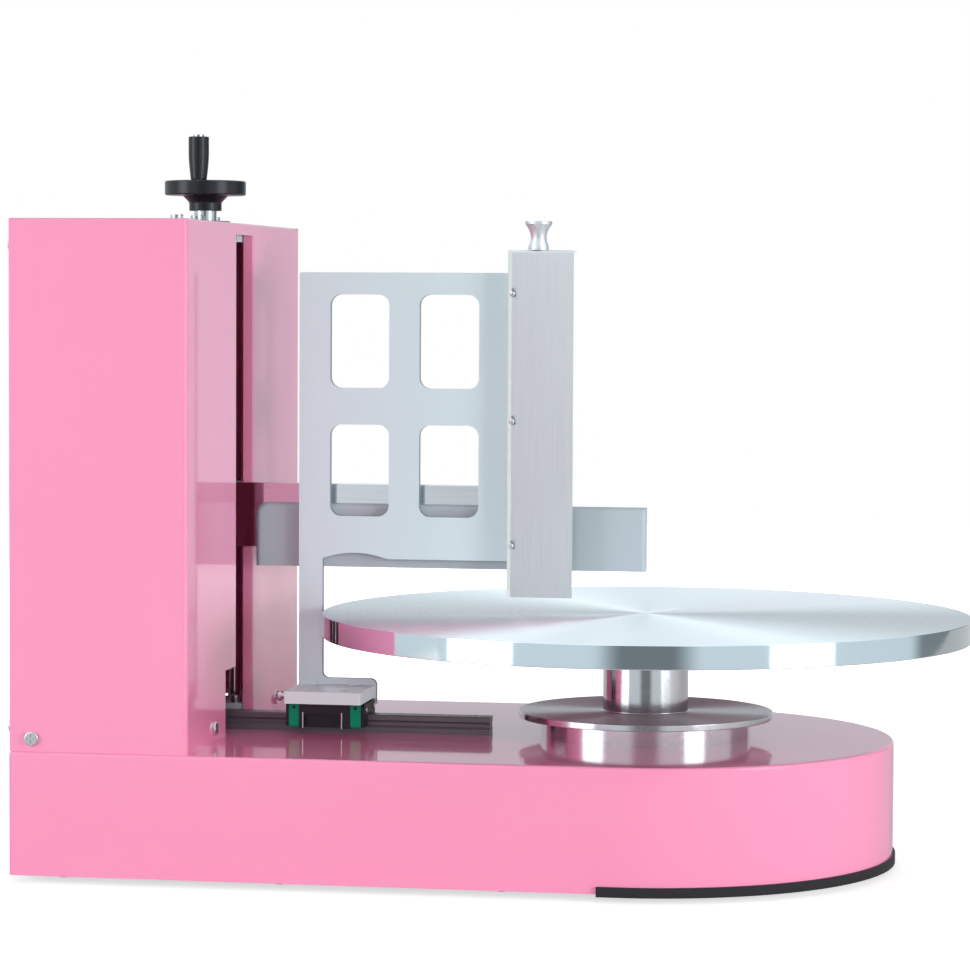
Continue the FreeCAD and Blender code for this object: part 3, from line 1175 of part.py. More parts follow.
    board_x = -384.0
    board_y = 95.0
    half_x = 45.0
    half_y = 40.0
    floor = BASE_FLANGE_Z
    post_height = 8.0
    board_thickness = 1.6
    deck = floor + post_height
    face = deck + board_thickness
    board = [box(board_x - half_x, board_x + half_x, board_y - half_y, board_y + half_y, deck, face)]
    for dx, dy, width, depth, height in ((-38.0, -30.0, 30.0, 40.0, 20.4), (4.0, 22.0, 36.0, 12.0, 12.4)):
        left = board_x + dx
        front = board_y + dy
        board.append(box(left, left + width, front, front + depth, face, face + height))
    for dx, dy, radius, height in ((14.0, -18.0, 9.0, 25.4), (32.0, -2.0, 6.0, 15.4)):
        board.append(upright(board_x + dx, board_y + dy, face, face + height, radius))
    save("control_board", joined(board))
    post_inset = 5.0
    post_radius = 3.5
    reach_x = half_x - post_inset
    reach_y = half_y - post_inset
    posts = [upright(board_x + sx * reach_x, board_y + sy * reach_y, floor, deck, post_radius)
             for sx in (-1, 1) for sy in (-1, 1)]
    save("board_posts", posts)


base_pieces()
column_pieces()
lift_frame_pieces()
arm_pieces()
handwheel_pieces()
turntable_pieces()
rail_and_carriage_pieces()
scraper_pieces()
control_pieces()
base_bolts()
carriage_bolts()
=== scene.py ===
"""Looks of the cake smoothing machine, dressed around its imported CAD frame.

Lengths are metres in the part's own frame: +X runs from the column to the turntable, -Y faces the
viewer, +Z is up and the floor is at z = 0.
"""

import json
import logging
import math
from dataclasses import dataclass
from enum import Enum
from functools import cache
from typing import ClassVar

import bmesh
import bpy
import numpy as np
from mathutils import Matrix, Vector

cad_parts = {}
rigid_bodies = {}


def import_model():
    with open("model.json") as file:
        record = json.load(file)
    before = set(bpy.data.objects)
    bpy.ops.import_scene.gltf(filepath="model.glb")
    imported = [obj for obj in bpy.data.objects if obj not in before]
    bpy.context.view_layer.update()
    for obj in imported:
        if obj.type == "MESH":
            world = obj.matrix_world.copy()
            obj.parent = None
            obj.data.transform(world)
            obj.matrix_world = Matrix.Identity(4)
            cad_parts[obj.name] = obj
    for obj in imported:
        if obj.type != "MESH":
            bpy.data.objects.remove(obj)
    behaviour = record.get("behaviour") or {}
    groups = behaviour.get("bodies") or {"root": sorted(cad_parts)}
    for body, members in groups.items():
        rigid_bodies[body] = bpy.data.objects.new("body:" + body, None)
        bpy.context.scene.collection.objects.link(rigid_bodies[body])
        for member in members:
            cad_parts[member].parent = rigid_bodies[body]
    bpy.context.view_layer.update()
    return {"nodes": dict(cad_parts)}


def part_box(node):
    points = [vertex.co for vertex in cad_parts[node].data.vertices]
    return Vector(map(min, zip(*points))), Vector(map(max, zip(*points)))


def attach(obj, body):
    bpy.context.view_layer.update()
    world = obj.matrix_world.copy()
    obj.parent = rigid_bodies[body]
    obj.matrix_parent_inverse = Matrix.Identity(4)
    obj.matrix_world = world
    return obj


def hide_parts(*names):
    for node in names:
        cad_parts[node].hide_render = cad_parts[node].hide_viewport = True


for leftover in list(bpy.data.objects):
    bpy.data.objects.remove(leftover)

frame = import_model()

LOG = logging.getLogger("cake_machine")
MM = 0.001
SMOOTH_ANGLE = math.radians(32)
MERGE_DISTANCE = 0.0001 * MM
TURNING_MAP = "turning"

# The values between which most of a noise lies, and the colour sockets of a mix node
NOISE_MIDDLE = (0.3, 0.7)
MIX_COLOURS = (6, 7)
MIX_RESULT = 2

Colour = tuple[float, float, float]
Corner = tuple[float, float, float]
Span = tuple[float, float]
Socket = bpy.types.NodeSocket
Value = Socket | float

WHITE: Colour = (1, 1, 1)


class Grain(Enum):
    """Way that the fine lines of a brushed surface run, as the stretch of their noise along each axis."""

    ALONG_X = (1.0, 70.0, 70.0)
    ALONG_Z = (160.0, 160.0, 1.0)


class NodeSheet:
    """A node tree with the few kinds of node that the room and the finishes share."""

    def __init__(self, tree: bpy.types.NodeTree) -> None:
        """Clears the tree."""
        self.tree = tree
        tree.nodes.clear()

    def node(self, kind: str, **settings: object) -> bpy.types.Node:
        """Adds one node.

        Args:
            kind: Blender's name of the node type.
            settings: attributes to set on it.

        Returns:
            The new node.
        """
        node = self.tree.nodes.new(kind)
        for key, value in settings.items():
            setattr(node, key, value)
        return node

    def feed(self, source: Value, node: bpy.types.Node, socket: str | int) -> None:
        """Links an output to a node's input, or sets the input to a number.

        Args:
            source: the output or the number.
            node: the node that takes it.
            socket: name or index of the node's input.
        """
        if isinstance(source, (int, float)):
            node.inputs[socket].default_value = source
        else:
            self.tree.links.new(source, node.inputs[socket])

    def work(self, operation: str, first: Value, second: Value = 0) -> Socket:
        """Works out one operation on two numbers.

        Args:
            operation: Blender's name of the operation.
            first: the first number.
            second: the second number, where the operation takes two.

        Returns:
            The result.
        """
        node = self.node("ShaderNodeMath", operation=operation)
        self.feed(first, node, 0)
        self.feed(second, node, 1)
        return node.outputs[0]

    def ramp(self, value: Socket, span: Span, levels: Span) -> Socket:
        """Maps a span of numbers smoothly onto two levels.

        Args:
            value: the number to map.
            span: where the map starts and ends.
            levels: what it gives up to its start and from its end.

        Returns:
            The mapped number.
        """
        node = self.node("ShaderNodeMapRange", interpolation_type="SMOOTHSTEP")
        for index, limit in enumerate((*span, *levels), start=1):
            node.inputs[index].default_value = limit
        self.feed(value, node, 0)
        return node.outputs[0]


class ShaderSheet(NodeSheet):
    """Node tree of one material."""

    def __init__(self, name: str) -> None:
        """Starts a material with one principled shader.

        Args:
            name: the material's name.
        """
        self.material = bpy.data.materials.new(name)
        self.material.use_nodes = True
        super().__init__(self.material.node_tree)
        self.shader = self.node("ShaderNodeBsdfPrincipled")
        out = self.node("ShaderNodeOutputMaterial")
        self.feed(self.shader.outputs["BSDF"], out, "Surface")

    def set(self, **constants: object) -> None:
        """Sets constants on the shader's own sockets, with spaces of their names as underscores."""
        for key, value in constants.items():
            self.shader.inputs[key.replace("_", " ")].default_value = value

    def place(self, stretch: Corner = (1, 1, 1)) -> Socket:
        """Gives the piece's own coordinates.

        Args:
            stretch: factor along each axis.

        Returns:
            The stretched coordinates.
        """
        coords = self.node("ShaderNodeTexCoord")
        mapping = self.node("ShaderNodeMapping")
        mapping.inputs["Scale"].default_value = stretch
        self.feed(coords.outputs["Object"], mapping, "Vector")
        return mapping.outputs["Vector"]

    def noise(self, where: Socket, scale: float, detail: float = 2) -> Socket:
        """Gives soft noise.

        Args:
            where: coordinates that it depends on.
            scale: cells in a metre.
            detail: finer layers added to it.

        Returns:
            The noise, between 0 and 1.
        """
        noise = self.node("ShaderNodeTexNoise")
        noise.inputs["Scale"].default_value = scale
        noise.inputs["Detail"].default_value = detail
        self.feed(where, noise, "Vector")
        return noise.outputs["Fac"]

    def band(self, value: Socket, low: float, high: float) -> Socket:
        """Maps the middle of a noise onto low to high."""
        return self.ramp(value, NOISE_MIDDLE, (low, high))

    def tint(self, factor: Socket, low: Colour, high: Colour) -> Socket:
        """Mixes two colours.

        Args:
            factor: 0 for the first colour to 1 for the second.
            low: the first colour.
            high: the second colour.

        Returns:
            The mixed colour.
        """
        mix = self.node("ShaderNodeMix", data_type="RGBA")
        for socket, colour in zip(MIX_COLOURS, (low, high)):
            mix.inputs[socket].default_value = (*colour, 1)
        self.feed(factor, mix, 0)
        return mix.outputs[MIX_RESULT]

    def emboss(self, height: Socket, depth: float) -> None:
        """Bumps the surface.

        Args:
            height: the bump, from 0 to 1.
            depth: how deep it goes, in metres.
        """
        bump = self.node("ShaderNodeBump")
        bump.inputs["Distance"].default_value = depth
        self.feed(height, bump, "Height")
        self.feed(bump.outputs["Normal"], self.shader, "Normal")


@dataclass(frozen=True)
class Finish:
    """A surface finish, made into one material the first time that it is asked for."""

    name: str

    @cache
    def material(self) -> bpy.types.Material:
        """Gives the finish's material.

        Returns:
            The one material of this finish.
        """
        sheet = ShaderSheet(self.name)
        self.mix(sheet)
        return sheet.material

    def mix(self, sheet: ShaderSheet) -> None:
        """Fills in the material's nodes."""
        raise NotImplementedError


@dataclass(frozen=True)
class Enamel(Finish):
    """Glossy stoved paint on sheet metal, with a faint orange peel."""

    colour: Colour
    shade: Colour
    roughness: float = 0.5
    gloss: float = 0.06
    coat_index: float = 1.55
    base_sheen: float = 0.2
    sway_cells: float = 9
    peel_cells: float = 620
    peel_depth: float = 0.004 * MM

    def mix(self, sheet: ShaderSheet) -> None:
        """Lays a clear coat over the colour, which sways a little over the sheet.

        Args:
            sheet: the material's nodes.
        """
        sheet.set(Roughness=self.roughness, Coat_Weight=1.0, Coat_Roughness=self.gloss,
                  Coat_IOR=self.coat_index, Specular_IOR_Level=self.base_sheen)
        sway = sheet.noise(sheet.place(), self.sway_cells)
        sheet.feed(sheet.tint(sway, self.shade, self.colour), sheet.shader, "Base Color")
        sheet.emboss(sheet.noise(sheet.place(), self.peel_cells), self.peel_depth)


@dataclass(frozen=True)
class SatinMetal(Finish):
    """Blasted or plated metal with a near even, soft sheen."""

    colour: Colour
    shade: Colour
    metallic: float = 1.0
    roughness: Span = (0.4, 0.46)
    cells: float = 260
    detail: float = 4

    def mix(self, sheet: ShaderSheet) -> None:
        """Varies colour and roughness slightly by a fine noise.

        Args:
            sheet: the material's nodes.
        """
        sheet.set(Metallic=self.metallic)
        speckle = sheet.noise(sheet.place(), self.cells, self.detail)
        sheet.feed(sheet.tint(speckle, self.shade, self.colour), sheet.shader, "Base Color")
        sheet.feed(sheet.band(speckle, *self.roughness), sheet.shader, "Roughness")


@dataclass(frozen=True)
class EdgeShadedPlate(SatinMetal):
    """Satin plate with painted shade on its edge faces, which are darker than its two faces that look along
    Y.
    """

    # colour of the painted shade on the edge faces
    edge: Colour = (0.26, 0.3, 0.32)
    facing: Span = (0.5, 0.8)

    def mix(self, sheet: ShaderSheet) -> None:
        """Paints shade on the edge faces, told from the two faces by the way that the surface looks.

        Args:
            sheet: the material's nodes.
        """
        super().mix(sheet)
        axes = sheet.node("ShaderNodeSeparateXYZ")
        sheet.feed(sheet.node("ShaderNodeNewGeometry").outputs["Normal"], axes, 0)
        facing = sheet.ramp(sheet.work("ABSOLUTE", axes.outputs["Y"]), self.facing, (0, 1))
        sheet.feed(sheet.tint(facing, self.edge, self.colour), sheet.shader, "Base Color")


@dataclass(frozen=True)
class BrushedMetal(Finish):
    """Metal with fine straight lines along one axis."""

    colour: Colour
    shade: Colour
    grain: Grain
    roughness: Span = (0.6, 0.66)
    depth: float = 0.01 * MM
    spread: float = 0.85
    cells: float = 14
    detail: float = 6

    def mix(self, sheet: ShaderSheet) -> None:
        """Draws the lines as noise stretched along the grain, and spreads the light across them.

        Args:
            sheet: the material's nodes.
        """
        sheet.set(Metallic=1.0, Anisotropic=self.spread)
        tangent = sheet.node("ShaderNodeTangent", direction_type="RADIAL", axis="Z")
        sheet.feed(tangent.outputs["Tangent"], sheet.shader, "Tangent")
        lines = sheet.noise(sheet.place(self.grain.value), self.cells, self.detail)
        sheet.feed(sheet.tint(sheet.band(lines, 0, 1), self.shade, self.colour), sheet.shader, "Base Color")
        sheet.feed(sheet.band(lines, *self.roughness), sheet.shader, "Roughness")
        sheet.emboss(lines, self.depth)


@dataclass(frozen=True)
class TurnedMetal(Finish):
    """Metal faced on a lathe, whose rings throw radial fans of light."""

    colour: Colour
    shade: Colour
    roughness: Span = (0.4, 0.48)
    fans: float = 0.93
    across_rings: float = 0.25
    cells: float = 240
    detail: float = 5

    def mix(self, sheet: ShaderSheet) -> None:
        """Runs the rings along the piece's own "turning" map, which goes round the axis.

        Args:
            sheet: the material's nodes.
        """
        sheet.set(Metallic=1.0, Anisotropic=self.fans, Anisotropic_Rotation=self.across_rings)
        tangent = sheet.node("ShaderNodeTangent", direction_type="UV_MAP", uv_map=TURNING_MAP)
        sheet.feed(tangent.outputs["Tangent"], sheet.shader, "Tangent")
        turning = sheet.node("ShaderNodeUVMap", uv_map=TURNING_MAP)
        mapping = sheet.node("ShaderNodeMapping")
        mapping.inputs["Scale"].default_value = (0, 1, 0)
        sheet.feed(turning.outputs["UV"], mapping, "Vector")
        rings = sheet.noise(mapping.outputs["Vector"], self.cells, self.detail)
        sheet.feed(sheet.tint(sheet.band(rings, 0, 1), self.shade, self.colour), sheet.shader, "Base Color")
        sheet.feed(sheet.band(rings, *self.roughness), sheet.shader, "Roughness")


@dataclass(frozen=True)
class Moulding(Finish):
    """Moulded plastic or rubber with a fine grain."""

    colour: Colour
    shade: Colour
    roughness: Span = (0.22, 0.3)
    cells: float = 1500
    depth: float = 0.004 * MM
    gloss: float = 0.5

    def mix(self, sheet: ShaderSheet) -> None:
        """Grains the surface with a fine noise.

        Args:
            sheet: the material's nodes.
        """
        sheet.set(Specular_IOR_Level=self.gloss)
        grain = sheet.noise(sheet.place(), self.cells)
        sheet.feed(sheet.tint(grain, self.shade, self.colour), sheet.shader, "Base Color")
        sheet.feed(sheet.band(grain, *self.roughness), sheet.shader, "Roughness")
        sheet.emboss(grain, self.depth)


@dataclass(frozen=True)
class Palette:
    """The machine's finishes, by the record's material slots."""

    pink_paint: Finish = Enamel("pink_enamel", (0.89, 0.302, 0.49), (0.87, 0.284, 0.472))
    plated_sheet: Finish = SatinMetal("zinc_sheet", (0.62, 0.64, 0.66), (0.5, 0.52, 0.55))
    zinc_screw: Finish = SatinMetal("zinc_plate", (0.8, 0.81, 0.82), (0.66, 0.68, 0.7), 1.0, (0.2, 0.3))
    turned_aluminium: Finish = TurnedMetal("turned_face", (0.86, 0.88, 0.9), (0.77, 0.79, 0.81))
    anodised_aluminium: Finish = SatinMetal(
        "satin_anodise", (0.67, 0.81, 0.865), (0.65, 0.79, 0.845), 0.15, (0.48, 0.54))
    polished_aluminium: Finish = SatinMetal(
        "mirror_aluminium", (0.78, 0.87, 0.91), (0.76, 0.85, 0.89), 1.0, (0.05, 0.07))
    polished_steel: Finish = SatinMetal(
        "mirror_steel", (0.72, 0.72, 0.74), (0.68, 0.68, 0.7), 1.0, (0.1, 0.16))
    brushed_stainless: Finish = BrushedMetal(
        "drawn_stainless", (0.9, 0.91, 0.91), (0.82, 0.83, 0.84), Grain.ALONG_Z)
    rail_steel: Finish = SatinMetal(
        "oiled_rail", (0.15, 0.137, 0.152), (0.12, 0.108, 0.12), 0.4, (0.32, 0.42))
    green_plastic: Finish = Moulding(
        "green_moulding", (0.001, 0.31, 0.155), (0.001, 0.26, 0.125), (0.45, 0.55), gloss=0.2)
    black_seal: Finish = Moulding(
        "wiper_rubber", (0.012, 0.012, 0.013), (0.008, 0.008, 0.009), (0.45, 0.55))
    black_plastic: Finish = Moulding("black_moulding", (0.01, 0.012, 0.015), (0.007, 0.008, 0.01))
    black_rubber: Finish = Moulding("foot_rubber", (0.016, 0.016, 0.017), (0.01, 0.01, 0.011), (0.6, 0.75))
    bronze: Finish = SatinMetal("bearing_bronze", (0.6, 0.38, 0.16), (0.5, 0.3, 0.12), 1.0, (0.28, 0.38))
    motor_paint: Finish = Moulding("motor_lacquer", (0.05, 0.055, 0.06), (0.04, 0.043, 0.048))
    circuit_board: Finish = Moulding(
        "board_lacquer", (0.01, 0.12, 0.05), (0.006, 0.08, 0.03), (0.25, 0.4), 300)
    nylon: Finish = Moulding("white_nylon", (0.75, 0.74, 0.7), (0.68, 0.67, 0.62), (0.4, 0.5))

    def of(self, slot: str) -> Finish:
        """Gives the finish of a material slot."""
        return getattr(self, slot)


PALETTE = Palette()
PRINT_WHITE = Moulding("white_print", (0.85, 0.85, 0.85), (0.8, 0.8, 0.8), (0.5, 0.6))
MIRROR_BAR = BrushedMetal(
    "mirror_bar", (0.88, 0.88, 0.89), (0.82, 0.82, 0.84), Grain.ALONG_X, (0.06, 0.1), 0.002 * MM, 0)
SATIN_BLADE = SatinMetal("satin_blade", (0.44, 0.505, 0.545), (0.43, 0.495, 0.535), 0.1, (0.4, 0.46))
TURNED_FLANGE = TurnedMetal("turned_flange", (0.76, 0.76, 0.77), (0.64, 0.64, 0.65), (0.42, 0.5), 0.95)
BLACK_STEEL = SatinMetal("blackened_steel", (0.022, 0.02, 0.023), (0.016, 0.014, 0.017), 0.3, (0.36, 0.44))
# frame plate, with painted shade on the edges of its windows and outline
EDGE_SHADED_PLATE = EdgeShadedPlate("plate_painted_edge_shade", (0.66, 0.805, 0.835), (0.645, 0.79, 0.82), 0.1, (0.42, 0.46))
# the plates' anodise painted lighter and bluer for the carriage plate: painted light against the column's
# shadow and the pink light bounced onto it
PAINTED_LIGHTER_PLATE = SatinMetal("plate_painted_lighter", (0.77, 0.95, 0.95), (0.75, 0.93, 0.93), 0.05, (0.3, 0.31), 60)
POLISHED_RING = SatinMetal("polished_ring", (0.85, 0.85, 0.87), (0.8, 0.8, 0.82), 1.0, (0.1, 0.16))
BENT_EDGE = SatinMetal("bent_edge", (0.98, 0.94, 0.91), (0.96, 0.92, 0.89), 1.0, (0.1, 0.14))
SATIN_KNOB = SatinMetal("satin_knob", (0.8, 0.82, 0.84), (0.76, 0.78, 0.8), 0.85, (0.42, 0.48))


def eased(corners: list[Corner], steps: int = 5) -> np.ndarray:
    """Rounds the corners of a turning profile.

    Each corner C is cut back by its ease to points A and B on its two sides, and becomes the curve
    (1-s)^2 A + 2 s (1-s) C + s^2 B for s from 0 to 1.

    Args:
        corners: (radius, height, ease) of each corner; the two ends stay as they are.
        steps: pieces of each rounded corner.

    Returns:
        The profile as an (n, 2) array.
    """
    points = np.array([corner[:2] for corner in corners])
    run = np.linspace(0, 1, steps + 1)[:, None]
    rows = [points[:1]]
    for before, here, after, corner in zip(points, points[1:], points[2:], corners[1:]):
        if not corner[2]:
            rows.append(here[None])
            continue
        start = here + (before - here) / np.linalg.norm(before - here) * corner[2]
        end = here + (after - here) / np.linalg.norm(after - here) * corner[2]
        rows.append((1 - run) ** 2 * start + 2 * run * (1 - run) * here + run ** 2 * end)
    rows.append(points[-1:])
    return np.concatenate(rows)


def into_mesh(name: str, points: np.ndarray, faces: list[list[int]],
              uv: np.ndarray | None = None) -> bpy.types.Object:
    """Puts points and faces into a smooth mesh object at the origin, whose large faces shade flat.

    Args:
        name: the piece's name.
        points: (n, 3) places.
        faces: indices of each face's corners.
        uv: (m, 4, 2) places on the map "turning" for m four-sided faces, or None.

    Returns:
        The new object, with coincident points merged.
    """
    mesh = bpy.data.meshes.new(name)
    mesh.from_pydata(points.tolist(), [], faces)
    if uv is not None:
        layer = mesh.uv_layers.new(name=TURNING_MAP)
        layer.data.foreach_set("uv", uv.astype(np.float32).ravel())
    work = bmesh.new()
    work.from_mesh(mesh)
    bmesh.ops.remove_doubles(work, verts=work.verts, dist=MERGE_DISTANCE)
    work.to_mesh(mesh)
    work.free()
    mesh.polygons.foreach_set("use_smooth", np.ones(len(mesh.polygons), dtype=bool))
    mesh.set_sharp_from_angle(angle=SMOOTH_ANGLE)
    piece = bpy.data.objects.new(name, mesh)
    bpy.context.scene.collection.objects.link(piece)
    shading = piece.modifiers.new("large_faces_flat", "WEIGHTED_NORMAL")
    shading.keep_sharp = True
    return piece


def turned(name: str, profile: np.ndarray, axis: tuple[float, float], steps: int = 96,
           swell: np.ndarray | None = None) -> bpy.types.Object:
    """Turns a profile about an upright axis.

    The point of the profile at radius r and height h goes to (ax + r cos t, ay + r sin t, h) for t once
    round the circle. A profile that runs from the bottom outwards and up has its faces outwards.

    Args:
        name: the piece's name.
        profile: (n, 2) radius and height.
        axis: x and y of the axis.
        steps: pieces of the circle.
        swell: (n, steps) added to the radius, for a screw thread, or None.

    Returns:
        The new object.
    """
    turn = np.linspace(0, 2 * math.pi, steps, endpoint=False)
    radius = profile[:, :1] + (0 if swell is None else swell)
    radius = np.broadcast_to(radius, (len(profile), steps))
    height = np.broadcast_to(profile[:, 1:], radius.shape)
    points = np.stack([axis[0] + radius * np.cos(turn), axis[1] + radius * np.sin(turn), height], axis=-1)
    row, column = np.meshgrid(np.arange(len(profile) - 1), np.arange(steps), indexing="ij")
    following = (column + 1) % steps
    corners = [(row, column), (row, following), (row + 1, following), (row + 1, column)]
    faces = np.stack([r * steps + c for r, c in corners], axis=-1).reshape(-1, 4)
    along = np.concatenate([[0], np.cumsum(np.linalg.norm(np.diff(profile, axis=0), axis=1))])
    spots = [(row, column), (row, column + 1), (row + 1, column + 1), (row + 1, column)]
    uv = np.stack([np.stack([c / steps, along[r]], axis=-1) for r, c in spots], axis=-2).reshape(-1, 4, 2)
    return into_mesh(name, points.reshape(-1, 3), faces.tolist(), uv)


def slabs(name: str, centres: np.ndarray, across: np.ndarray | Corner, up: np.ndarray | Corner,
          out: np.ndarray | Corner) -> bpy.types.Object:
    """Makes a row of small flat blocks.

    Each corner of a block is its centre plus or minus half of its across, up and out vectors.

    Args:
        name: the piece's name.
        centres: (n, 3) middles.
        across: widths as vectors, (n, 3) or one for all.
        up: lengths as vectors, the same way.
        out: thicknesses as vectors, the same way, with across x up along out.

    Returns:
        The new object.
    """
    signs = np.array([(x, y, z) for z in (-1, 1) for y in (-1, 1) for x in (-1, 1)]) / 2
    edges = np.stack([np.broadcast_to(edge, centres.shape) for edge in (across, up, out)], axis=1)
    offsets = np.einsum("ks,nsd->nkd", signs, edges)
    points = (centres[:, None] + offsets).reshape(-1, 3)
    box = np.array([(0, 2, 3, 1), (4, 5, 7, 6), (0, 1, 5, 4), (2, 6, 7, 3), (0, 4, 6, 2), (1, 3, 7, 5)])
    faces = (np.arange(len(centres))[:, None, None] * len(signs) + box).reshape(-1, 4)
    return into_mesh(name, points, faces.tolist())


def carried_up(name: str, section: np.ndarray, low: float, high: float) -> bpy.types.Object:
    """Carries a closed section straight up, with a flat cap at each end.

    The point (x, y) of the section goes to (x, y, low) and (x, y, high).

    Args:
        name: the piece's name.
        section: (n, 2) places, counter-clockwise as seen from above.
        low: height of the lower end.
        high: height of the upper end.

    Returns:
        The new object.
    """
    count = len(section)
    points = np.concatenate([np.column_stack([section, np.full(count, height)]) for height in (low, high)])
    start = np.arange(count)
    following = (start + 1) % count
    sides = np.column_stack([start, following, following + count, start + count])
    caps = [start[::-1].tolist(), (start + count).tolist()]
    return into_mesh(name, points, sides.tolist() + caps)


def fit(piece: bpy.types.Object, body: str, slot: str, finish: Finish, *nodes: str) -> bpy.types.Object:
    """Gives a new piece its finish and the body it rides on, and hides the CAD nodes that it stands for.

    Args:
        piece: the new object.
        body: CAD body that carries it.
        slot: the record's material slot; not used.
        finish: its surface.
        nodes: CAD nodes that it replaces.

    Returns:
        The same object.
    """
    piece.data.materials.append(finish.material())
    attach(piece, body)
    if nodes:
        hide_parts(*nodes)
    LOG.info("piece %s on %s: %s", piece.name, body, finish.name)
    return piece


def middle(node: str) -> Span:
    """Gives x and y of the middle of a CAD node's box."""
    low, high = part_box(node)
    return ((low.x + high.x) / 2, (low.y + high.y) / 2)


class SubAssembly:
    """A group of CAD nodes that are dressed together, with the pieces that stand for some of them."""

    nodes: tuple[str, ...] = ()
    special: ClassVar[dict[str, Finish]] = {}

    def build(self) -> None:
        """Builds the new pieces, where the sub-assembly has any."""

    def dress(self) -> None:
        """Gives each CAD node the finish of its material slot, or the special one named for it."""
        for name in self.nodes:
            node = frame["nodes"][name]
            finish = self.special.get(name) or PALETTE.of(node.data.materials[0].name)
            node.data.materials[0] = finish.material()
            LOG.info("node %s: %s", name, finish.name)


@dataclass
class Base(SubAssembly):
    """Folded base with its bottom, feet, edge strip and the bolts on its top."""

    nodes: tuple[str, ...] = (
        "base_shell", "bottom_plate", "edge_trim", "rubber_feet", "bottom_screws", "base_bolts")


@dataclass
class Column(SubAssembly):
    """Column sheets with their covers and screws."""

    nodes: tuple[str, ...] = (
        "column_shell", "column_left_cover", "column_rear_cover", "cover_screws", "column_lugs")
    slot_rear: float = 24 * MM
    slot_height: float = 384.9 * MM
    lip_width: float = 7.8 * MM
    lip_wall: float = 1.0 * MM
    lip_bend: float = 0.9 * MM
    bend_points: int = 7

    def build(self) -> None:
        """Folds the lip along the slot's rear edge, its section carried straight up.

        The section is a thin strip from the wall's outer face inwards, with its outer front corner bent
        round an arc: corner + bend (cos t, -sin t) for t from 0 to a quarter turn.
        """
        low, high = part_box("column_shell")
        outer, inner = high.x, high.x - self.lip_width
        front, rear = self.slot_rear - self.lip_wall, self.slot_rear
        turn = np.linspace(0, math.pi / 2, self.bend_points)
        bend = np.column_stack([outer - self.lip_bend + self.lip_bend * np.cos(turn),
                                front + self.lip_bend - self.lip_bend * np.sin(turn)])
        section = np.concatenate([[(outer, rear)], bend, [(inner, front), (inner, rear)]])[::-1]
        lip = carried_up("slot_lip", section, low.z, low.z + self.slot_height)
        fit(lip, "frame", "pink_paint", PALETTE.pink_paint)


@dataclass
class Lift(SubAssembly):
    """Screw lift inside the column, with the arm and its blade."""

    nodes: tuple[str, ...] = (
        "floor_bracket", "top_bracket", "guide_rods", "screw_bearing", "lift_bolts", "arm_bar", "arm_bolts",
        "lift_block", "guide_bushes", "lift_nut", "smoother_blade")
    special: ClassVar[dict[str, Finish]] = {"arm_bar": MIRROR_BAR, "smoother_blade": SATIN_BLADE}
    lead: float = 4 * MM
    thread_depth: float = 1.6 * MM
    thread_radius: float = 8 * MM
    thread_flank: float = 0.9
    journal_radius: float = 6 * MM
    collar_radius: float = 9 * MM
    foot_radius: float = 5 * MM
    foot_height: float = 11.3 * MM
    collar_height: float = 7.8 * MM
    collar_above_column: float = 3.3 * MM
    rows_per_turn: int = 6
    steps: int = 24

    def build(self) -> None:
        """Turns the lead screw, its thread a ridge that climbs one lead a turn.

        The thread's share of its depth is 0.5 + flank cos(2 pi z / lead - t), clipped to 0 and 1 for flat
        roots and crests.
        """
        low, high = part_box("lead_screw")
        column_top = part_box("column_shell")[1].z
        collar_low = column_top + self.collar_above_column
        collar_top = collar_low + self.collar_height
        thread_low = low.z + self.foot_height
        thread_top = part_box("top_bracket")[0].z
        turns = round((thread_top - thread_low) / self.lead)
        heights = np.linspace(thread_low, thread_top, turns * self.rows_per_turn + 1)
        core = self.thread_radius - self.thread_depth
        thread = np.column_stack([np.full_like(heights, core), heights])
        foot = [(0, low.z), (self.foot_radius, low.z), (self.foot_radius, thread_low)]
        head = [(self.journal_radius, thread_top), (self.journal_radius, collar_low),
                (self.collar_radius, collar_low), (self.collar_radius, collar_top),
                (self.journal_radius, collar_top), (self.journal_radius, high.z), (0, high.z)]
        profile = np.concatenate([np.array(foot), thread, np.array(head)])
        turn = np.linspace(0, 2 * math.pi, self.steps, endpoint=False)
        ridge = np.cos(2 * math.pi * heights[:, None] / self.lead - turn)
        swell = np.zeros((len(profile), self.steps))
        share = np.clip(0.5 + self.thread_flank * ridge, 0, 1)
        swell[len(foot):len(foot) + len(heights)] = self.thread_depth * share
        screw = turned("lead_screw_threaded", profile, middle("lead_screw"), self.steps, swell)
        fit(screw, "handwheel", "polished_steel", PALETTE.polished_steel, "lead_screw")


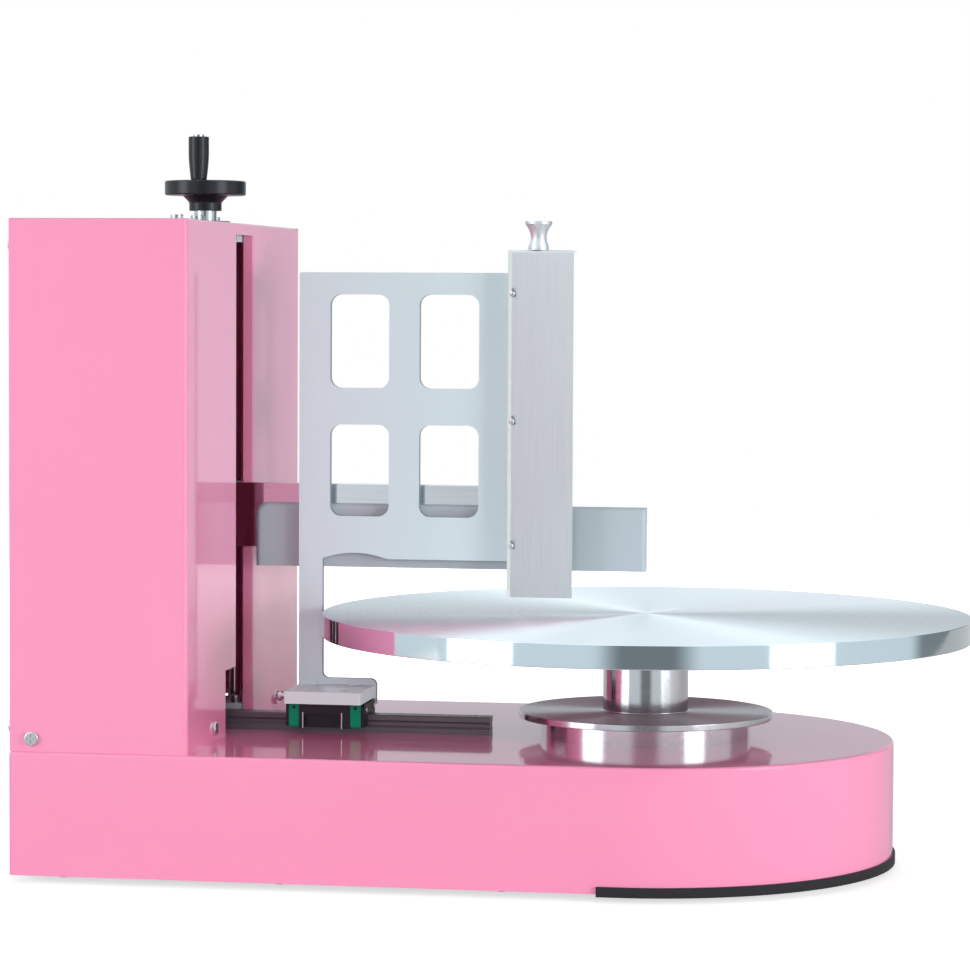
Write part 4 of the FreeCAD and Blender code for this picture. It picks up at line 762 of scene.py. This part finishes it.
@dataclass
class Handwheel(SubAssembly):
    """Dished handwheel, its crank boss and the grip on its pin."""

    nodes: tuple[str, ...] = ("crank_pin",)
    bore: float = 6 * MM
    hub_radius: float = 12.95 * MM
    cone_low: float = 6.7 * MM
    cone_radius: float = 18.4 * MM
    rim_low: float = 12.3 * MM
    rim_inner: float = 25.3 * MM
    dish: float = 16.4 * MM
    hub_ease: float = 0.8 * MM
    cone_ease: float = 1 * MM
    rim_ease: float = 1.5 * MM
    lip_ease: float = 1.4 * MM
    dish_ease: float = 1.6 * MM
    boss_radius: float = 7 * MM
    boss_sunk: float = 1 * MM
    pin_radius: float = 3 * MM
    grip_foot: float = 6.4 * MM
    grip_swell: float = 1.7 * MM
    grip_ends: Span = (0.8 * MM, 1.2 * MM)
    grip_eases: Span = (0.72 * MM, 0.96 * MM)
    grip_rows: int = 15
    swell_reach: float = 2 / 3
    small_steps: int = 48

    def build(self) -> None:
        """Turns the wheel, the boss under the grip and the grip."""
        low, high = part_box("handwheel")
        rim = (high.x - low.x) / 2
        floor = low.z + self.dish
        wheel = eased([
            (self.bore, low.z, 0), (self.hub_radius, low.z, self.hub_ease),
            (self.hub_radius, low.z + self.cone_low, self.cone_ease),
            (self.cone_radius, low.z + self.rim_low, self.cone_ease),
            (rim, low.z + self.rim_low, self.rim_ease), (rim, high.z, self.rim_ease),
            (self.rim_inner, high.z, self.lip_ease), (self.rim_inner, floor, self.dish_ease),
            (self.bore, floor, 0), (self.bore, low.z, 0)])
        piece = turned("handwheel_turned", wheel, middle("handwheel"))
        fit(piece, "handwheel", "black_plastic", PALETTE.black_plastic, "handwheel")
        boss_low = floor - self.boss_sunk
        boss = eased([
            (self.pin_radius, boss_low, 0), (self.boss_radius, boss_low, 0),
            (self.boss_radius, high.z, self.hub_ease), (self.pin_radius, high.z, 0),
            (self.pin_radius, boss_low, 0)])
        piece = turned("crank_boss", boss, middle("crank_grip"), self.small_steps)
        fit(piece, "handwheel", "black_plastic", PALETTE.black_plastic)
        self.grip()

    def grip(self) -> None:
        """Turns the grip, which swells upwards.

        The radius is the foot's plus the swell times sin(pi s / 2) for s from 0 at the foot to 1 at two
        thirds of the height, and then stays.
        """
        low, high = (corner.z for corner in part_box("crank_grip"))
        climb = np.linspace(0, 1, self.grip_rows)
        swell = np.sin(np.minimum(climb / self.swell_reach, 1) * math.pi / 2)
        side = self.grip_foot + self.grip_swell * swell
        heights = low + self.grip_ends[0] + (high - low - sum(self.grip_ends)) * climb
        foot_ease, top_ease = self.grip_eases
        top = eased([(side[-1], heights[-1], 0), (side[-1], high, top_ease), (self.pin_radius, high, 0)])
        foot = eased([(self.pin_radius, low, 0), (side[0], low, foot_ease), (side[0], heights[0], 0)])
        bore = np.array([(self.pin_radius, low)])
        profile = np.concatenate([foot, np.column_stack([side, heights])[1:], top[1:], bore])
        piece = turned("crank_grip_turned", profile, middle("crank_grip"), self.small_steps)
        fit(piece, "handle", "black_plastic", PALETTE.black_plastic, "crank_grip")


@dataclass
class Turntable(SubAssembly):
    """Turned table with its stem and splash flange."""

    nodes: tuple[str, ...] = ("hub_housing", "spindle_bearings", "spindle", "driven_pulley")
    special: ClassVar[dict[str, Finish]] = {"hub_housing": POLISHED_RING}
    edge_ease: float = 0.7 * MM
    face_share: float = 0.98
    face_rings: int = 9
    flat_from: float = 0.95
    stem_radius: float = 32.9 * MM
    stem_fillet: float = 1 * MM
    flange_edge: float = 5 * MM
    flange_ease: float = 0.6 * MM
    steps: int = 256

    def build(self) -> None:
        """Turns the table, with a finish on its rim apart from its faces, and then the hub."""
        low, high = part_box("turntable_disc")
        radius = (high.x - low.x) / 2
        rings = np.linspace(self.face_share, 0, self.face_rings) * radius
        outline = eased([
            (0, low.z, 0), (rings[0], low.z, 0), (radius, low.z, self.edge_ease),
            (radius, high.z, self.edge_ease), (rings[0], high.z, 0)])
        face = np.column_stack([rings[1:], np.full(len(rings) - 1, high.z)])
        profile = np.concatenate([outline, face])
        piece = turned("turntable_turned", profile, middle("turntable_disc"), self.steps)
        fit(piece, "turntable", "turned_aluminium", PALETTE.turned_aluminium, "turntable_disc")
        self.face(piece, PALETTE.polished_aluminium, flat=False)
        self.hub()

    def hub(self) -> None:
        """Turns the flange and the stem, with a small fillet between them."""
        low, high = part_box("turntable_hub")
        flange = (high.x - low.x) / 2
        floor = low.z + self.flange_edge
        profile = eased([
            (0, low.z, 0), (flange, low.z, self.flange_ease), (flange, floor, self.flange_ease),
            (self.stem_radius, floor, self.stem_fillet), (self.stem_radius, high.z, 0), (0, high.z, 0)])
        piece = turned("turntable_hub_turned", profile, middle("turntable_hub"), self.steps)
        fit(piece, "turntable", "polished_steel", PALETTE.polished_steel, "turntable_hub")
        self.face(piece, TURNED_FLANGE, flat=True)

    def face(self, piece: bpy.types.Object, finish: Finish, flat: bool) -> None:
        """Gives a second finish to a turned piece's flat faces, or to its upright ones.

        Args:
            piece: the turned piece.
            finish: the second finish.
            flat: True for the flat faces.
        """
        piece.data.materials.append(finish.material())
        normals = np.empty(len(piece.data.polygons) * 3, dtype=np.float32)
        piece.data.polygons.foreach_get("normal", normals)
        level = np.abs(normals.reshape(-1, 3)[:, 2]) > self.flat_from
        piece.data.polygons.foreach_set("material_index", (level == flat).astype(np.int32))


@dataclass
class Drive(SubAssembly):
    """Gear motor, belt and control board inside the base."""

    nodes: tuple[str, ...] = (
        "gear_motor", "motor_bracket", "drive_belt", "control_board", "board_posts", "motor_shaft",
        "motor_pulley")


@dataclass
class Carriage(SubAssembly):
    """Rail, block and plate, with the frame plate, the scraper and its knob."""

    nodes: tuple[str, ...] = (
        "linear_rail", "carriage_block", "block_end_caps", "block_end_seals", "carriage_screws",
        "carriage_plate", "carriage_plate_bolts", "carriage_bolts", "frame_plate", "scraper_bar",
        "scraper_blade", "scraper_pins")
    special: ClassVar[dict[str, Finish]] = {
        "carriage_block": BLACK_STEEL, "frame_plate": EDGE_SHADED_PLATE, "carriage_plate": PAINTED_LIGHTER_PLATE}
    knob_foot: float = 8 * MM
    knob_waist: float = 6.05 * MM
    knob_head: float = 10.5 * MM
    waist_height: float = 9.3 * MM
    foot_height: float = 1 * MM
    head_height: float = 20 * MM
    head_ease: float = 0.7 * MM
    knob_rows: int = 12
    knob_steps: int = 64
    edge_inset: Span = (3 * MM, 6.8 * MM)
    bend_proud: float = 0.15 * MM
    bend_width: float = 3.4 * MM
    bend_fold: float = 0.5 * MM
    bend_slope: float = math.radians(13.6)
    bend_side: float = math.radians(75)
    edge_width: float = 0.8 * MM
    edge_length: float = 12.3 * MM
    edge_proud: float = 0.4 * MM
    cap_screw_drop: float = 3.2 * MM
    cap_screw_size: float = 2.4 * MM

    def build(self) -> None:
        """Builds the knob and the trim of the scraper and of the block."""
        self.knob()
        self.scraper_bend()
        self.block_edges()
        self.cap_screws()

    def knob(self) -> None:
        """Turns the knob, a spool whose side runs from the foot to the waist and out to the head.

        The radius is a cosine blend from foot to waist, and a rising square from waist to head.
        """
        low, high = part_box("scraper_knob")
        fall = np.linspace(0, 1, self.knob_rows)
        lower = self.knob_waist + (self.knob_foot - self.knob_waist) * (1 + np.cos(math.pi * fall)) / 2
        upper = self.knob_waist + (self.knob_head - self.knob_waist) * fall ** 2
        heights = np.concatenate([
            low.z + self.foot_height + (self.waist_height - self.foot_height) * fall,
            low.z + self.waist_height + (self.head_height - self.waist_height) * fall[1:]])
        side = np.column_stack([np.concatenate([lower, upper[1:]]), heights])
        foot = np.array([(0, low.z), (self.knob_foot, low.z)])
        head = eased([tuple(side[-1]) + (0,), (self.knob_head, high.z, self.head_ease), (0, high.z, 0)])
        profile = np.concatenate([foot, side, head[1:]])
        piece = turned("scraper_knob_turned", profile, middle("scraper_knob"), self.knob_steps)
        fit(piece, "carriage", "polished_aluminium", SATIN_KNOB, "scraper_knob")

    def scraper_bend(self) -> None:
        """Rolls the polished bend down the scraper's left front edge, proud of the fold by a hair.

        Its section slopes gently back from the front to the fold, then steeply to the side, and is carried
        straight up.
        """
        low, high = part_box("scraper_blade")
        right, fold, left = low.x + self.bend_width, low.x + self.bend_fold, low.x - self.bend_proud
        front = low.y - self.bend_proud
        fold_back = front + (right - fold) * math.tan(self.bend_slope)
        rear = fold_back + (fold - left) * math.tan(self.bend_side)
        section = np.array([
            (right, low.y + self.bend_proud), (fold, rear), (left, rear), (fold, fold_back),
            (right, front)])
        bend = carried_up("scraper_bend", section, low.z, high.z)
        fit(bend, "carriage", "brushed_stainless", BENT_EDGE)

    def block_edges(self) -> None:
        """Sets the two ground edges of the block's front recess, thin bright strips on its front."""
        low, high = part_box("carriage_block")
        height = low.z + self.edge_length / 2
        sides = (low.x + self.edge_inset[0], high.x - self.edge_inset[1])
        centres = np.array([(side, low.y, height) for side in sides])
        piece = slabs("block_edges", centres, (self.edge_width, 0, 0), (0, 0, self.edge_length),
                      (0, -self.edge_proud, 0))
        fit(piece, "carriage", "polished_steel", PALETTE.polished_steel)

    def cap_screws(self) -> None:
        """Sets the dark screw heads near the tops of the two end caps."""
        low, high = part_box("block_end_caps")
        block_low, block_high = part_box("carriage_block")
        height = high.z - self.cap_screw_drop
        sides = ((low.x + block_low.x) / 2, (block_high.x + high.x) / 2)
        centres = np.array([(side, low.y, height) for side in sides])
        size = self.cap_screw_size
        piece = slabs("cap_screw_heads", centres, (size, 0, 0), (0, 0, size), (0, -self.edge_proud, 0))
        fit(piece, "carriage", "black_seal", BLACK_STEEL)


@dataclass
class RearControls(SubAssembly):
    """Inlet, switch and speed dial on the rear wall, with the dial's scale."""

    nodes: tuple[str, ...] = (
        "power_inlet", "inlet_pins", "switch_housing", "speed_pot", "speed_knob", "pot_shaft",
        "switch_rocker")
    first_mark: float = math.radians(210)
    sweep: float = math.radians(300)
    marks: int = 11
    mark_radius: float = 18.5 * MM
    mark_width: float = 0.8 * MM
    mark_length: float = 3.4 * MM
    print_depth: float = 0.12 * MM
    print_sunk: float = 0.03 * MM

    def build(self) -> None:
        """Prints the scale round the speed dial, clockwise as seen from the rear.

        Mark k stands at angle a = first + sweep k / (marks - 1) from the top, at x - R sin a, z + R cos a.
        """
        low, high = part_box("speed_knob")
        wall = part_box("base_shell")[1].y
        angle = self.first_mark + self.sweep * np.arange(self.marks) / (self.marks - 1)
        still = np.zeros(self.marks)
        outward = np.column_stack([-np.sin(angle), still, np.cos(angle)])
        across = np.column_stack([-np.cos(angle), still, -np.sin(angle)])
        layer = wall + self.print_depth / 2 - self.print_sunk
        centre = np.array([(low.x + high.x) / 2, layer, (low.z + high.z) / 2])
        depth = np.column_stack([still, still + self.print_depth, still])
        piece = slabs("dial_scale", centre + outward * self.mark_radius, across * self.mark_width,
                      outward * self.mark_length, depth)
        fit(piece, "frame", "nylon", PRINT_WHITE)


@dataclass(frozen=True)
class Softbox:
    """A soft lamp: bearing in degrees from the front, distance from the machine over the floor, and height.

    Its size is its face's width and height. A level of 1 lights a surface to about its own colour, and
    shown is what its face adds to the room's level in reflections.
    """

    name: str
    bearing: float
    distance: float
    height: float
    size: Span
    level: float
    shown: float


@dataclass
class Studio:
    """Pale floor, soft lights and the camera of the photograph."""

    location: Corner = (0.40665, -2.6462, 0.4354)
    heading: float = 0.16148
    dip: float = 0.054279
    roll: float = 0.0051793
    focal_pixels: float = 3457.434
    image_height: int = 971
    sensor: float = 36.0
    floor_reach: Corner = (1.7, -0.8, 4.0)
    floor_glow: Span = (0.62, 1.0)
    floor_colour: float = 0.75
    floor_mirrored: Span = (0.05, 0.12)
    mirrored_rows: Span = (0.8, 1.8)
    glow_reach: Span = (0.55, 1.5)
    aim: Corner = (0.1, 0.0, 0.3)
    ambient: float = 0.33
    room_colour: Colour = (0.86, 0.95, 1.0)
    wall_angles: Span = (80, 130)
    wall_levels: Span = (0.78, 0.74)
    flag_bearing: float = 137.0
    flag_angles: Span = (18, 28)
    flag_depth: float = 0.5
    gap_bearing: float = 7.0
    gap_angles: Span = (8, 20)
    gap_depth: float = 0.56
    ceiling: float = 0.5
    ceiling_rise: Span = (0.1, 0.6)
    face_edge: float = 1.146
    face_top: Span = (0.45, 0.65)
    softboxes: tuple[Softbox, ...] = (
        Softbox("left_softbox", -53, 2.4, 0.45, (1.06, 0.8), 0.36, 2.2),
        Softbox("right_softbox", 62, 2.4, 0.45, (1.02, 0.8), 0.68, 2.2),
        Softbox("front_softbox", 3, 3.0, 0.7, (0.9, 0.9), 0.22, 0),
        Softbox("rear_softbox", 190, 2.8, 0.8, (1.6, 1.2), 0.3, 0),
        Softbox("top_softbox", 0, 0.4, 2.6, (2.2, 1.6), 0.06, 0))

    def camera(self) -> None:
        """Stands the camera where the photograph was taken."""
        lens = bpy.data.cameras.new("viewpoint")
        lens.sensor_width = self.sensor
        lens.lens = self.focal_pixels * self.sensor / self.image_height
        stand = bpy.data.objects.new("viewpoint", lens)
        turn = Matrix.Rotation(self.heading, 4, "Z") @ Matrix.Rotation(math.pi / 2 - self.dip, 4, "X")
        stand.matrix_world = Matrix.Translation(self.location) @ turn @ Matrix.Rotation(self.roll, 4, "Z")
        bpy.context.scene.collection.objects.link(stand)
        bpy.context.scene.camera = stand

    def floor(self) -> None:
        """Lays a pale floor that takes the machine's soft shadow.

        It is white beyond the shadow, and paler towards the back in reflections.
        """
        side, front, rear = self.floor_reach
        points = np.array([(-side, front, 0), (side, front, 0), (side, rear, 0), (-side, rear, 0)])
        plane = into_mesh("floor", points, [[0, 1, 2, 3]])
        sheet = ShaderSheet("floor_paper")
        sheet.set(Base_Color=(self.floor_colour,) * 3 + (1,), Roughness=1.0, Specular_IOR_Level=0.0,
                  Emission_Color=(*WHITE, 1))
        path = sheet.node("ShaderNodeLightPath")
        axes = sheet.node("ShaderNodeSeparateXYZ")
        sheet.feed(sheet.place(), axes, 0)
        rows = sheet.ramp(axes.outputs["Y"], self.mirrored_rows, self.floor_mirrored)
        mirrored = sheet.work("MULTIPLY", path.outputs["Is Glossy Ray"], rows)
        seen = sheet.work("MAXIMUM", path.outputs["Is Camera Ray"], mirrored)
        away = sheet.node("ShaderNodeVectorMath", operation="LENGTH")
        sheet.feed(sheet.place(), away, 0)
        glow = sheet.ramp(away.outputs["Value"], self.glow_reach, self.floor_glow)
        sheet.feed(sheet.work("MULTIPLY", seen, glow), sheet.shader, "Emission Strength")
        plane.data.materials.append(sheet.material)

    def lamp(self, softbox: Softbox) -> None:
        """Hangs one softbox that faces the machine; its reflection is drawn by the room.

        Its power is pi squared times its level times the square of its distance from the aim.

        Args:
            softbox: the softbox.
        """
        light = bpy.data.lights.new(softbox.name, "AREA")
        light.shape = "RECTANGLE"
        light.size, light.size_y = softbox.size
        angle = math.radians(softbox.bearing)
        target = Vector(self.aim)
        place = target + softbox.distance * Vector((math.sin(angle), -math.cos(angle), 0))
        place.z = softbox.height
        light.energy = math.pi ** 2 * (place - target).length_squared * softbox.level
        box = bpy.data.objects.new(softbox.name, light)
        facing = (target - place).to_track_quat("-Z", "Y").to_matrix().to_4x4()
        box.matrix_world = Matrix.Translation(place) @ facing
        box.visible_glossy = False
        box.visible_camera = False
        bpy.context.scene.collection.objects.link(box)

    def lobe(self, sheet: NodeSheet, bearing: Socket, centre: float, angles: Span, levels: Span) -> Socket:
        """Gives a level that changes with the angle from one bearing.

        Args:
            sheet: the room's nodes.
            bearing: bearing of a ray, in radians.
            centre: bearing to measure from, in degrees.
            angles: where the change starts and ends, in degrees from the centre.
            levels: the level within the first angle and beyond the second.

        Returns:
            The level.
        """
        off = sheet.work("ABSOLUTE", sheet.work("SUBTRACT", bearing, math.radians(centre)))
        return sheet.ramp(off, tuple(math.radians(angle) for angle in angles), levels)

    def mirrored_level(self, sheet: NodeSheet) -> Socket:
        """Gives the room's level in reflections.

        It is that of the walls, plus the ceiling's by height, less the dark gap where the camera stands and
        the dark flag at the right, plus each softbox over the bearings that its face covers.

        Args:
            sheet: the room's nodes.

        Returns:
            The level.
        """
        axes = sheet.node("ShaderNodeSeparateXYZ")
        sheet.feed(sheet.node("ShaderNodeTexCoord").outputs["Generated"], axes, 0)
        across, away, up = axes.outputs
        bearing = sheet.work("ARCTAN2", across, sheet.work("MULTIPLY", away, -1))
        walls = self.lobe(sheet, bearing, self.gap_bearing, self.wall_angles, self.wall_levels)
        gap = self.lobe(sheet, bearing, self.gap_bearing, self.gap_angles, (-self.gap_depth, 0))
        flag = self.lobe(sheet, bearing, self.flag_bearing, self.flag_angles, (-self.flag_depth, 0))
        ceiling = sheet.ramp(up, self.ceiling_rise, (0, self.ceiling))
        level = sheet.work("ADD", sheet.work("ADD", walls, gap), sheet.work("ADD", flag, ceiling))
        for softbox in self.softboxes:
            if not softbox.shown:
                continue
            half = math.degrees(math.atan(softbox.size[0] / 2 / softbox.distance))
            edges = (half - self.face_edge, half + self.face_edge)
            face = self.lobe(sheet, bearing, softbox.bearing, edges, (softbox.shown, 0))
            below_top = sheet.ramp(up, self.face_top, (1, 0))
            level = sheet.work("ADD", level, sheet.work("MULTIPLY", face, below_top))
        return level

    def room(self) -> None:
        """Makes the room: white behind the machine, and of its own level in reflections and as light."""
        world = bpy.data.worlds.new("room")
        bpy.context.scene.world = world
        world.use_nodes = True
        sheet = NodeSheet(world.node_tree)
        path = sheet.node("ShaderNodeLightPath")
        shown = self.background(sheet, WHITE, self.ambient)
        mirrored = self.background(sheet, self.room_colour, self.mirrored_level(sheet))
        white = self.background(sheet, WHITE, 1.0)
        shades = {"Is Glossy Ray": mirrored, "Is Transmission Ray": mirrored, "Is Camera Ray": white}
        for ray, shade in shades.items():
            mix = sheet.node("ShaderNodeMixShader")
            for index, source in enumerate((path.outputs[ray], shown, shade)):
                sheet.feed(source, mix, index)
            shown = mix.outputs[0]
        sheet.feed(shown, sheet.node("ShaderNodeOutputWorld"), "Surface")

    def background(self, sheet: NodeSheet, colour: Colour, strength: Value) -> Socket:
        """Gives a plain background.

        Args:
            sheet: the room's nodes.
            colour: its colour.
            strength: its level.

        Returns:
            The background's output.
        """
        node = sheet.node("ShaderNodeBackground")
        node.inputs["Color"].default_value = (*colour, 1)
        sheet.feed(strength, node, "Strength")
        return node.outputs[0]

    def build(self) -> None:
        """Sets up the camera, the floor, the lights and the room."""
        self.camera()
        self.floor()
        self.room()
        for softbox in self.softboxes:
            self.lamp(softbox)
        bpy.context.scene.view_settings.view_transform = "Standard"


def main() -> None:
    """Builds and dresses each sub-assembly in order, then sets up the studio."""
    logging.basicConfig(level=logging.INFO, format="%(message)s")
    for part in (Base(), Column(), Lift(), Handwheel(), Turntable(), Drive(), Carriage(), RearControls()):
        LOG.info("sub-assembly %s", type(part).__name__)
        part.build()
        part.dress()
    Studio().build()


if __name__ == "__main__":
    main()
